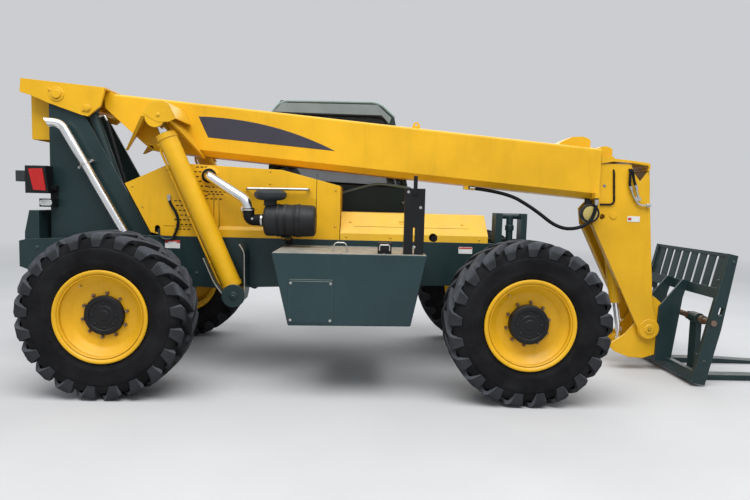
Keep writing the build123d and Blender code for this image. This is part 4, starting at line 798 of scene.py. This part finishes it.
for side, hand in sides.items():
    out, barrel = (0, hand, 0), f"lift_barrel_{side}"
    webs = [bent(line([(x, hand * lift["y"], z) for x, z in leg]), 0.05, 7) for leg in lift["webs"]]
    put(f"liftWeb_{side}", [flatStrap(leg, 0.010, 0.2) for leg in webs], "green")
    # a thin bright zinc line along each web's outer edge: a painted highlight standing in for light caught on the edge
    put(f"liftWebHighlightLine_{side}", [swept(leg + (0, hand * 0.1, 0), 0.0055, 10) for leg in webs], "zinc")
    put(f"liftPinCap_{side}", [cap(34, 9, at(-740, hand * 620, 705), out, 32),
                               boltsAt([(-740, hand * 628, 705)], out, 10, 8)], "green")
    tubeLine = [onLift(s, hand, off) for s, off in ((88, 60), (88, 97), (1330, 97), (1372, 70))]
    rearward = onLift(0, hand, 1) - onLift(0, hand)
    put(f"liftLine_{side}", [swept(bent(tubeLine, 0.03, 6), 0.010),
                             *[drum(15, -11, 11, onLift(s, hand, 97), liftWay, 20) for s in (330, 760, 1180)],
                             cap(20, 34, onLift(1378, hand, 62), rearward, 24, (4, 5)),
                             band(79, 84, 16, onLift(82, hand), liftWay, 56)], "yellow", barrel)
    put(f"liftSeal_{side}", [turned([(1439, 47), (1439, 74), (1446, 72), (1450, 56), (1450, 47)], onLift(0, hand),
                                    liftWay, 56, ring=True)], "hose", barrel)
    put(f"liftCap_{side}", [sideSlab(lift["capFace"], hand * 612, 12), boltsAt([(-1348, hand * 618, 2164)], out, 13, 9),
                            flatStrap(line([(x, hand * 412, z) for x, z in lift["capRoof"]]), 0.010, 0.41)],
        "yellow", "boom_base", bevel=2)

# slave cylinder fittings, and the steel tube that runs down from them
slave = {"eye": (261, -88), "foot": (-1700, 1215), "y": -205}
slaveTop = onBoom(slave["eye"][0], slave["y"], slave["eye"][1])
slaveWay = unit(at(slave["foot"][0], slave["y"], slave["foot"][1]) - slaveTop)
slaveSide = unit(np.cross(slaveWay, across))
slaveSide = slaveSide * (1 if slaveSide[0] > 0 else -1)
fitting = slaveTop + slaveWay * 0.075


def fromFitting(places):  # (out, down) places in metres from the fitting
    return [fitting + slaveSide * out + slaveWay * down for out, down in places]


put("slaveGland", [turned([(770, 23), (770, 46), (778, 48), (800, 48), (800, 23)], slaveTop, slaveWay, 40, ring=True)],
    "green", "slave_barrel")
put("slaveFitting", [turned([(30, 0), (30, 15), (52, 15), (54, 11), (66, 11), (66, 0)], fitting, slaveSide, 6),
                     swept(bent(fromFitting([(0.05, 0), (0.085, 0), (0.092, 0.06)]), 0.025), 0.009)],
    "zinc", "slave_barrel")
put("slaveLine", [swept(bent(fromFitting([(0.092, 0.05), (0.078, 0.30), (0.062, 0.60), (0.036, 0.66)]), 0.05), 0.011)],
    "black", "slave_barrel")

# boom: stripe, pin caps, bolts, mouth pads, and the steel tubes along its left side
stripe = {"start": (-1139, 2215), "crest": (-499.5, 2216), "tip": (58, 1949), "heel": (-1056, 2036)}
t = np.linspace(0, 1, 40)[:, None]
start, crest, tip = (np.array(stripe[key]) for key in ("start", "crest", "tip"))
upperEdge = (1 - t) ** 2 * start + 2 * t * (1 - t) * crest + t ** 2 * tip
put("boomStripe", [sideSlab(np.vstack([upperEdge, [stripe["heel"]]]), hand * 200.7, 1.4) for hand in (-1, 1)],
    "stripe", "boom_base")
yokeParts = []
for hand in (-1, 1):
    out, y = (0, hand, 0), hand * 300
    yokeParts += [
        cap(62, 8, onBoom(0, y, 0), out, 40), cap(38, 13, onBoom(0, y + hand * 8, 0), out, 36),
        bolts([onBoom(8, y, -44), onBoom(-60, y, 30)], out, 12, 12), bolts([onBoom(229, y, -112)], out, 9, 9),
        drum(36, 0, 5, onBoom(261, y, -88), out, 32), cap(28, 14, onBoom(261, y + hand * 3, -88), out, 32, (2, 4)),
    ]
put("yokePins", yokeParts, "yellow", "boom_base", smooth=30)
put("boomBolts", [bolts([onBoom(u, y, 70) for u in (4560, 4690) for y in (-150, 150)], boomUp, 9, 7)],
    "yellow", "boom_base")
padTable = [(340, 44, 0, 38), (260, 7, 0, -365), (10, 240, -183, -170), (10, 240, 183, -170)]  # wide, tall, y, w
put("mouthPads", [bar(wide, tall, onBoom(4746, y, w), across, boomUp, 40) for wide, tall, y, w in padTable],
    "plastic", "boom_base", bevel=1)
tubeRun = [(1330, 205), (1370, 214), (4300, 214), (4340, 205)]
put("boomTubes", [swept(bent([onBoom(u, y, w) for u, y in tubeRun], 0.04), 0.011) for w in (-40, -78)],
    "zinc", "boom_base")
put("boomTubeClamps", [slab(lozenge(46, 96, 10), onBoom(u, 214, -59), boomAlong, boomUp, 30)
                       for u in range(1450, 4300, 560)], "plastic", "boom_base", bevel=2)

# boom hose: the free hose that hangs under the boom, with a crimped fitting at each end
hose = {
    "size": 0.032, "length": 1.43,
    "route": [(1265.35, -125, 1659.71), (1600, -125, 1632.20), (1850, -190, 1490), (2070, -235, 1312),
              (2270, -245, 1318), (2400, -245, 1425), (2400, -245, 1592)],
}
hosePoints = line(hose["route"])
hoseCurve = bpy.data.curves.new("boomHose", "CURVE")
hoseCurve.dimensions = "3D"
hoseSpline = hoseCurve.splines.new("NURBS")
hoseSpline.points.add(len(hosePoints) - 1)
for point, place in zip(hoseSpline.points, hosePoints):
    point.co = (*place, 1)
hoseSpline.order_u = 3
hoseSpline.use_endpoint_u = True
hoseSpline.resolution_u = 24
hoseCurve.bevel_depth = hose["size"] / 2
hoseCurve.bevel_resolution = 6
hoseCurve.use_fill_caps = True
hoseCurve.materials.append(finishes["hose"])
boomHose = made("boomHose", hoseCurve)
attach(boomHose, "boom_base")
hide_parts("boom_hose")
crimp = [(0, 0), (0, 12), (14, 12), (16, 20), (60, 20), (62, 17.5), (66, 17.5), (66, 0)]
crimps = []
for first, following in ((hosePoints[0], hosePoints[1]), (hosePoints[-1], hosePoints[-2])):
    way = unit(following - first)
    crimps.append(turned(crimp, first - way * 0.004, way, 24))
hoseFerrules = put("hoseFerrules", crimps, "zinc", "boom_base")
print("boom ready")

# work lamp and tail lamps; outlines are (x, z) places on the right side
lampAt = at(2359, -217, 1455)
put("workLampRim", [turned([(-3, 60), (-3, 84), (6, 85), (12, 80), (12, 70), (6, 66), (6, 60)], lampAt, toRight, 48,
                           ring=True),
                    turned([(38, 0), (38, 30), (64, 24), (64, 0)], lampAt, across, 24)], "plastic", "boom_base")
# the lens's yellowish tint paints the boom's reflection
put("workLampLens", [turned([(2, 0), (2, 68), (9, 66), (14, 44), (16, 0)], lampAt, toRight, 48)],
    "lampLensPaintedBoomReflection", "boom_base")
tail = {"lens": [(-2489, 1713), (-2372, 1717), (-2345, 1533), (-2450, 1536)],
        "bezel": [(-2504, 1728), (-2356, 1732), (-2326, 1516), (-2462, 1518)]}
for side, hand in sides.items():
    put(f"tailLens_{side}", [sideSlab(tail["lens"], hand * 436, 10)], "redLens", bevel=3)
    put(f"tailBezel_{side}", [sideSlab(tail["bezel"], hand * 428, 10), block(-2432, hand * 340, 1740, 130, 60, 8)],
        "black", bevel=2)
    put(f"tailBox_{side}", [block(-2561, hand * 396, 1651, 78, 66, 92), block(-2525, hand * 390, 1651, 20, 40, 40)],
        "greyPlastic", bevel=4)
    put(f"tailLampWhite_{side}", [label(-2381, 1432, 104, 52, 22, hand * 377, 8)], "whiteLens", bevel=3)
    put(f"tailBulb_{side}", [turned([(0, 0), (0, 9), (3, 10), (3, 0)], at(-2400, hand * 381, 1438), (0, hand, 0), 16)],
        "zinc")
print("lamps ready")

# boom head: pipe and rigid lines on its right face, pin bosses, label, and the plate behind the front notch
headLine = {  # radii in millimetres; each line is a rubber-covered run, then a steel one after its nut
    "steel": 9.5, "rubber": 11.5,
    "rear": [(2716, -168, 1857), (2716, -192, 1845), (2714, -192, 1730), (2728, -192, 1690), (2756, -192, 1617),
             (2812, -192, 1541), (2896, -192, 1541), (2905, -186, 1541)],
    "front": [(2731, -168, 1857), (2731, -200, 1845), (2752, -200, 1745), (2772, -200, 1700), (2786, -200, 1640),
              (2800, -200, 1606)],
}
put("headPipe", [rod([(2463, -176, 1538), (2564, -178, 1540), (2589, -178, 1565), (2571, -178, 1840),
                      (2571, -150, 1862)], 0.03, 0.009)], "hose", "boom_end")
for name in ("rear", "front"):
    run = headLine[name]
    nutAt, beyond = line(run[3:5])
    put(f"headLineSleeve_{name}", [rod(run[:4], 0.03, headLine["rubber"] / 1000)], "hose", "boom_end")
    put(f"headLineSteel_{name}", [rod(run[3:], 0.03, headLine["steel"] / 1000),
                                  turned([(-22, 0), (-22, 15), (20, 15), (24, 11), (24, 0)], nutAt,
                                         unit(beyond - nutAt), 20)], "zinc", "boom_end")
put("headLineBlock", [block(2797, -186, 1597, 46, 34, 34), block(2899, -183, 1541, 30, 30, 34),
                      drum(13, 0, 26, at(2899, -196, 1541), toRight, 6)], "zinc", "boom_end", bevel=1.5)
put("headBolts", [boltsAt([(2495, hand * 168, 1708)], (0, hand, 0), 10, 8) for hand in (-1, 1)], "steel", "boom_end")
bosses = []
for hand in (-1, 1):
    out, pinAt = (0, hand, 0), at(2985, hand * 168, 402)
    bosses += [turned([(0, 40), (0, 92), (7, 92), (11, 88), (11, 40)], pinAt, out, 56, ring=True),
               cap(44, 20, pinAt, out, 40, (4, 4)), boltsAt([(2985, hand * 186, 402)], out, 12, 8)]
put("headPinBosses", bosses, "yellow", "boom_end", smooth=30)
put("headPlate", [label(2781, 1413.5, 114, 51, 4, -169.2, 2.4)], "plate", "boom_end")
put("headPlateBand", [label(2744, 1414, 30, 24, 3, -170.6, 1.6)], "redBand", "boom_end")
put("headFront", [flatStrap(line([(2921, 0, 1625), (2914, 0, 1740), (2896, 0, 1912)]), 0.012, 0.30)],
    "yellow", "boom_end")
print("head ready")

# carriage: bolts on the uprights, and collars on the shaft
rackRear = onRack(-1, 0, 0) - onRack(0, 0, 0)
put("rackBolts", [bolts([onRack(0, s * 560, height) for height in (240, 900)], rackRear, 11, 9) for s in (-1, 1)]
    + [bolts([onRack(55, s * 600, height) for height in (200, 1080)], (0, s, 0), 11, 9) for s in (-1, 1)],
    "green", "carriage")
put("rackCollars", [band(24, 38, 14, at(3315, y, 555), across, 32) for y in (-455, -245, 115, 325)],
    "rusty", "carriage")
print("carriage ready")

# cab: rubber seals round the panes, door handle and hinges, wiper, mirror, rail, roof trim
cab = {
    "right": 275, "left": 1150, "middle": 775, "paneMiddle": 712.5, "frontHalf": 357, "rearHalf": 350, "rear": -600,
    "sideWindow": [(-500, 1700), (-500, 2330), (470, 2330), (560, 2240), (700, 1660)],
    "doorWindow": [(-460, 1350), (-460, 2250), (440, 2250), (510, 2190), (655, 1400), (655, 1350)],
    "frontFoot": (820, 1320), "frontTop": (600, 2325), "paneLow": 1350, "paneHigh": 2230,
    "roofLine": [(-603, 2300), (-494, 2448), (446, 2460), (604, 2324)],
    "upperPane": [(-560, 2344), (-478, 2432), (436, 2438), (572, 2318), (552, 2262), (478, 2340)],
}


def onFront(z, y):  # on the sloping front at a height
    (footX, footZ), (topX, topZ) = cab["frontFoot"], cab["frontTop"]
    return at(footX + (z - footZ) / (topZ - footZ) * (topX - footX), y, z)


def onPane(share, y):  # a little before the front pane: 0 at its foot, 1 at its top
    return onFront(cab["paneLow"] + (cab["paneHigh"] - cab["paneLow"]) * share, y) + (0.014, 0, 0.003)


paneCorners = ((0, -1), (0, 1), (1, 1), (1, -1))  # the corners of a pane: foot or top, and right or left
paneZ, rearZ = (cab["paneLow"], cab["paneHigh"]), (1300, 2250)
cabMiddle, paneMiddle = cab["middle"], cab["paneMiddle"]
frontCorners = [onFront(paneZ[up], paneMiddle + s * cab["frontHalf"]) for up, s in paneCorners]
rearCorners = [at(cab["rear"], paneMiddle + s * cab["rearHalf"], rearZ[up]) for up, s in paneCorners]
put("cabSeals", [looped(line([(x, cab["right"], z) for x, z in cab["sideWindow"]])), looped(frontCorners),
                 looped(rearCorners)], "hose")
put("doorSeal", [looped(line([(x, cab["left"], z) for x, z in cab["doorWindow"]]))], "hose", "door")
put("doorHandle", [block(600, 1156, 1270, 150, 12, 60), block(640, 1163, 1270, 60, 8, 34),
                   rod([(545, 1158, 1276), (545, 1184, 1276), (630, 1184, 1276), (630, 1158, 1276)], 0.012, 0.006)],
    "plastic", "door", bevel=1.5)
put("doorPull", [rod([(-380, 1152, 1000), (-380, 1190, 1010), (-380, 1190, 1300), (-380, 1152, 1310)], 0.03, 0.010)],
    "black", "door")
put("doorHinges", [drum(15, -52, 52, at(-545, 1170, z), upward, 24) for z in (1000, 2000)], "black")
put("roofTrim", [rod([(x, y, z) for x, z in cab["roofLine"]], 0.08, 0.011)
                 for y in (cab["right"] + 4, cab["left"] - 6)], "trim")
frontWay = unit(onPane(1, 0) - onPane(0, 0))
wiperFoot = onPane(-0.05, 700)
put("wiper", [swept([wiperFoot, onPane(0.42, 560)], 0.006), swept([onPane(0.18, 500), onPane(0.66, 622)], 0.007),
              turned([(-8, 0), (-8, 22), (14, 20), (14, 0)], wiperFoot, np.cross(across, frontWay), 24)], "plastic")
put("cabRail", [rod([(700, 262, 1500), (786, 262, 1560), (792, 262, 1650), (449, 262, 1692), (112, 262, 1591),
                     (60, 268, 1560)], 0.10, 0.012)], "trim")
put("mirrorArm", [rod([(540, 1130, 2100), (600, 1180, 2110), (640, 1185, 2060), (640, 1185, 1960)], 0.04, 0.008)],
    "black")
put("mirrorHead", [slab(lozenge(150, 250, 40), at(640, 1140, 1930), across, upward, 34)], "plastic", bevel=8)
put("mirrorFace", [slab(lozenge(132, 232, 32), at(622, 1140, 1930), across, upward, 3)], "chrome", bevel=1)
# the upper pane's pale opaque finish is painted sky
put("upperPane", [sideSlab(cab["upperPane"], 272, 4)], "skyGlass", bevel=1)
# roof vent slots as dark strips: painted shade standing in for the openings
put("roofVents", [block(x, cabMiddle, 2457, 10, 380, 8) for x in range(-300, 60, 30)], "jointAndHoleShade")
cabHeads = [(-540, 1450), (-540, 1240), (690, 1500), (740, 1180), (100, 1560), (-300, 1560)]
put("cabBolts", [boltsAt([(x, cab["right"], z) for x, z in cabHeads], toRight, 9, 6)], "black")
print("cab ready")


# a stuffed cushion: a grid over the square, lifted by the product of the two rounded edge curves, thinner
# towards its rim, with stitched grooves pressed in across it and a piping round the rim
cushionLook = {
    "edge": 5, "fullness": 0.42, "crown": 0.16, "groove": 0.11, "grooveWidth": 0.045, "sideGroove": 0.78,
    "under": 0.8, "piping": 0.005, "grid": 90, "fill": 0.85,
}


def cushion(place, one, two, size, grooves):
    one, two = unit(one), unit(two)
    normal = np.cross(one, two)
    t = np.sin(np.linspace(-pi / 2, pi / 2, cushionLook["grid"]))
    x, y = np.meshgrid(t, t, indexing="ij")
    x, y = x * (1 - 0.05 * y ** 4), y * (1 - 0.05 * x ** 4)
    rise = 1 - np.abs(t) ** cushionLook["edge"]
    lift = (rise[:, None] * rise[None]) ** cushionLook["fullness"]
    lift = lift * (1 - cushionLook["crown"] * (x ** 2 + y ** 2) / 2)
    seams = [(x, g) for g in grooves] + [(y, s * cushionLook["sideGroove"]) for s in (-1, 1)]
    pressed = sum(np.exp(-((where - g) / cushionLook["grooveWidth"]) ** 2) for where, g in seams)
    long, wide, thick = (s / 2000 for s in size)
    base = place + long * x[..., None] * one + wide * y[..., None] * two
    top = base + (thick * lift * (1 - cushionLook["groove"] * pressed))[..., None] * normal
    bottom = base - (thick * cushionLook["under"] * lift)[..., None] * normal
    rim = np.concatenate([base[0, :-1], base[:-1, -1], base[-1, :0:-1], base[:0:-1, 0]])
    grid = gridFaces(len(t), len(t))
    return [(top.reshape(-1, 3), grid), (bottom.reshape(-1, 3), [face[::-1] for face in grid])], rim


def piping(rim):  # a bead along the rim
    tangent = unit(np.roll(rim, -1, 0) - np.roll(rim, 1, 0))
    fixed = unit(np.cross(rim[20] - rim[0], rim[-40] - rim[0]))
    aside = np.cross(tangent, fixed)
    points = rim[:, None] + cushionLook["piping"] * spokes(aside, np.broadcast_to(fixed, aside.shape), 8)
    return points.reshape(-1, 3), gridFaces(len(rim), 8, True, True)


def sewn(name, place, one, two, size, grooves, hides=()):
    shells, rim = cushion(place, one, two, size, grooves)
    put(name, shells, "seat", smooth=60, hides=hides)
    put(name + "Piping", [piping(rim)], "seat", smooth=60)


backWay, backAt = np.array((-0.164, 0.0, 0.986)), 1560
sewn("seatCushion", at(-130, cabMiddle, 1240), forward, across, (500, 480, 150), (-0.35, 0.1, 0.5), hides=["seat"])
sewn("seatBack", at(-385, cabMiddle, backAt), backWay, toRight, (600, 460, 150), (-0.5, -0.1, 0.3))
put("seatShell", [slab(lozenge(420, 560, 60), at(-452, cabMiddle, backAt), across, backWay, 26),
                  slab(lozenge(440, 430, 40), at(-130, cabMiddle, 1166), forward, across, 30)], "plastic", bevel=6)
folds = [(868 + 32 * k, 26 * (k % 2)) for k in range(9)]  # height and inset of each fold
put("seatBellows", [slab(lozenge(330 - inset, 340 - inset, 40), at(-140, cabMiddle, z), forward, across, 30)
                    for z, inset in folds], "hose", bevel=5)
put("seatFoot", [slab(lozenge(440, 400, 30), at(-140, cabMiddle, 826), forward, across, 46)], "black", bevel=4)
put("armRests", [part for s in (-1, 1) for part in (
    label(-250, 1430, 300, 46, 20, cabMiddle + s * 270, 56),
    rod([(-390, cabMiddle + s * 262, 1440), (-420, cabMiddle + s * 220, 1440)], 0, 0.012))], "seat", bevel=14)

# controls: wheel, dashboard with gauges, console with joystick and levers, pedals and mat
wheelUp, wheelAt = np.array([-0.6, 0.0, 0.8]), at(422, 775, 1494)
wheelSide = np.cross(wheelUp, across)
put("wheelSpokes", [swept([wheelAt + 0.02 * spoke - 0.012 * wheelUp, wheelAt + 0.165 * spoke], 0.009)
                    for spoke in (cos(a) * wheelSide + sin(a) * np.array(across) for a in (0, 2 * pi / 3, 4 * pi / 3))],
    "plastic")
put("wheelHub", [turned([(-34, 0), (-34, 26), (-20, 40), (6, 42), (14, 34), (16, 0)], wheelAt, wheelUp, 40),
                 turned([(-6, 0), (-6, 12), (34, 11), (46, 18), (58, 12), (60, 0)], wheelAt + (0, 0.174, 0), wheelUp,
                        24)], "plastic")
dashUp, dashRear = (-0.55, 0, 0.835), (-0.835, 0, -0.55)
gaugeAt = [at(505, y, 1448) for y in (640, 720, 830, 910)]
put("dashTop", [slab(lozenge(420, 200, 30), at(512, 775, 1440), across, dashUp, 20)], "greyPlastic", bevel=5)
put("gauges", [turned([(6, 30), (6, 38), (16, 36), (16, 30)], place, dashRear, 32, ring=True) for place in gaugeAt],
    "chrome")
put("gaugeFaces", [turned([(0, 0), (0, 31), (12, 30), (12, 0)], place, dashRear, 32) for place in gaugeAt], "plate")
put("sideConsole", [block(-40, 450, 1080, 520, 130, 420)], "greyPlastic", bevel=10)
stickProfile = [(0, 0), (0, 44), (10, 40), (18, 32), (30, 26), (44, 14), (110, 11), (118, 20), (150, 24), (190, 21),
                (202, 12), (204, 0)]
put("joystick", [turned(stickProfile, at(60, 470, 1290), (0.12, 0, 0.99), 32)], "plastic")
knobProfile = [(0, 0), (0, 12), (14, 19), (30, 17), (40, 8), (41, 0)]
put("levers", [part for x in (-120, -60, 200) for part in (
    rod([(x, 450, 1288), (x + 14, 450, 1400)], 0, 0.006),
    turned(knobProfile, at(x + 14, 450, 1396), upward, 20))], "plastic")
put("pedals", [part for y in (640, 900) for part in (
    slab(lozenge(90, 130, 16), at(560, y, 930), across, (0.7, 0, 0.714), 14),
    rod([(575, y, 940), (640, y, 1000)], 0, 0.010))], "black", bevel=2)
put("floorMat", [slab(lozenge(1080, 760, 20), at(60, paneMiddle, 846), forward, across, 10),
                 *[block(x, paneMiddle, 853, 14, 700, 5) for x in range(-440, 560, 60)]], "hose", bevel=1)
print("seat and controls ready")

# axles: flanges with bolts on both sides of the differential, drain plug, brake lines along the tubes
axle = {"flange": 0.128, "boltRing": 0.158, "boltOut": 0.136, "line": [(0.10, -0.166), (0.25, -0.078), (0.60, -0.078)]}
for end, x in (("front", frontX), ("rear", rearX)):
    centre = np.array([x, 0, middle(f"tyre_{end}_right")[2]])
    flanges, lines = [bolts([centre + (0, 0, -0.163)], (0, 0, -1), 14, 10)], []
    for hand in (-1, 1):
        seats = [centre + (axle["boltRing"] * sin(a), hand * axle["boltOut"], axle["boltRing"] * cos(a))
                 for a in np.arange(0, 2 * pi, pi / 6)]
        flanges += [band(140, 171, 9, centre + (0, hand * axle["flange"], 0), across, 48),
                    bolts(seats, (0, hand, 0), 7, 7, washer=False)]
        lines.append(swept(bent([centre + (0.02, hand * y, z) for y, z in axle["line"]], 0.06), 0.005))
    put(f"axleFlanges_{end}", flanges, "green", f"axle_{end}", smooth=30)
    put(f"brakeLines_{end}", lines, "black", f"axle_{end}")
print("axles ready")

# floor: it fades with distance into the backdrop's own colour, so that no horizon shows
backdrop = {"colour": (0.60, 0.61, 0.63), "fadeFrom": 0.055, "fadeTo": 0.17, "near": ((0.50,) * 3, (0.54,) * 3)}
floorMesh = bpy.data.meshes.new("floor")
floorMesh.from_pydata([(-60, -60, 0), (60, -60, 0), (60, 60, 0), (-60, 60, 0)], [], [(0, 1, 2, 3)])
ground = Shading("paleFloor")
away = ground.add("ShaderNodeVectorMath", operation="LENGTH")
ground.give(away.inputs[0], ground.place)
fade = ground.ramp(ground.maths("DIVIDE", away.outputs["Value"], 100.0),
                   (backdrop["fadeFrom"], 0.0), (backdrop["fadeTo"], 1.0))
near = ground.patches((0.3, backdrop["near"][0]), (0.7, backdrop["near"][1]), 0.8, 6)
ground.surface({"Base Color": ground.mix(fade, near, (0.0, 0.0, 0.0)), "Emission Color": backdrop["colour"],
                "Emission Strength": fade, "Roughness": 0.85, "Specular IOR Level": 0.0})
floorMesh.materials.append(ground.material)
made("floor", floorMesh)

# light: a pale sky that the camera sees as the backdrop, and two soft panels
sky = {"colour": (0.90, 0.94, 1.0), "strength": 0.72}
world = bpy.data.worlds.new("studio")
bpy.context.scene.world = world
world.use_nodes = True
nodes, links = world.node_tree.nodes, world.node_tree.links
lit, seen, swap = nodes["Background"], nodes.new("ShaderNodeBackground"), nodes.new("ShaderNodeMixShader")
lit.inputs["Color"].default_value = (*sky["colour"], 1)
lit.inputs["Strength"].default_value = sky["strength"]
seen.inputs["Color"].default_value = (*backdrop["colour"], 1)
links.new(nodes.new("ShaderNodeLightPath").outputs["Is Camera Ray"], swap.inputs["Fac"])
links.new(lit.outputs[0], swap.inputs[1])
links.new(seen.outputs[0], swap.inputs[2])
links.new(swap.outputs[0], nodes["World Output"].inputs["Surface"])

panels = {
    "skyPanel": {"place": (-1, -4.5, 9), "size": (10, 6), "power": 1050},
    "farPanel": {"place": (2, 6, 7), "size": (8, 5), "power": 350},
}
for name, panel in panels.items():
    lamp = bpy.data.lights.new(name, "AREA")
    lamp.shape = "RECTANGLE"
    lamp.size, lamp.size_y = panel["size"]
    lamp.energy = panel["power"]
    light = made(name, lamp)
    light.location = panel["place"]
    light.rotation_euler = (Vector((0, 0, 1)) - Vector(panel["place"])).to_track_quat("-Z", "Y").to_euler()

# the camera stands at (x, y, z) from the middle of the wheelbase and looks along +Y, turned by yaw, pitch and roll
view = {
    "x": 0.300, "y": -5.382, "z": 1.515, "yaw": -1.49, "pitch": -4.81, "roll": 1.48,
    "focalPixels": 578.8, "imageWidth": 750,
}
cameraData = bpy.data.cameras.new("camera")
cameraData.sensor_width = 36
cameraData.lens = view["focalPixels"] / view["imageWidth"] * cameraData.sensor_width
camera = made("camera", cameraData)
yaw, pitch, roll = (radians(view[key]) for key in ("yaw", "pitch", "roll"))
look = np.array([-sin(yaw) * cos(pitch), cos(yaw) * cos(pitch), sin(pitch)])
right = np.array([cos(yaw), sin(yaw), 0.0])
above = np.cross(right, look)
axes = np.stack([right * cos(roll) + above * sin(roll), above * cos(roll) - right * sin(roll), -look], 1)
eye = (midX + view["x"], view["y"], view["z"])
camera.matrix_world = Matrix([(*row, float(place)) for row, place in zip(axes.tolist(), eye)] + [(0, 0, 0, 1)])
bpy.context.scene.camera = camera
bpy.context.scene.view_settings.view_transform = "Standard"
print("camera ready")
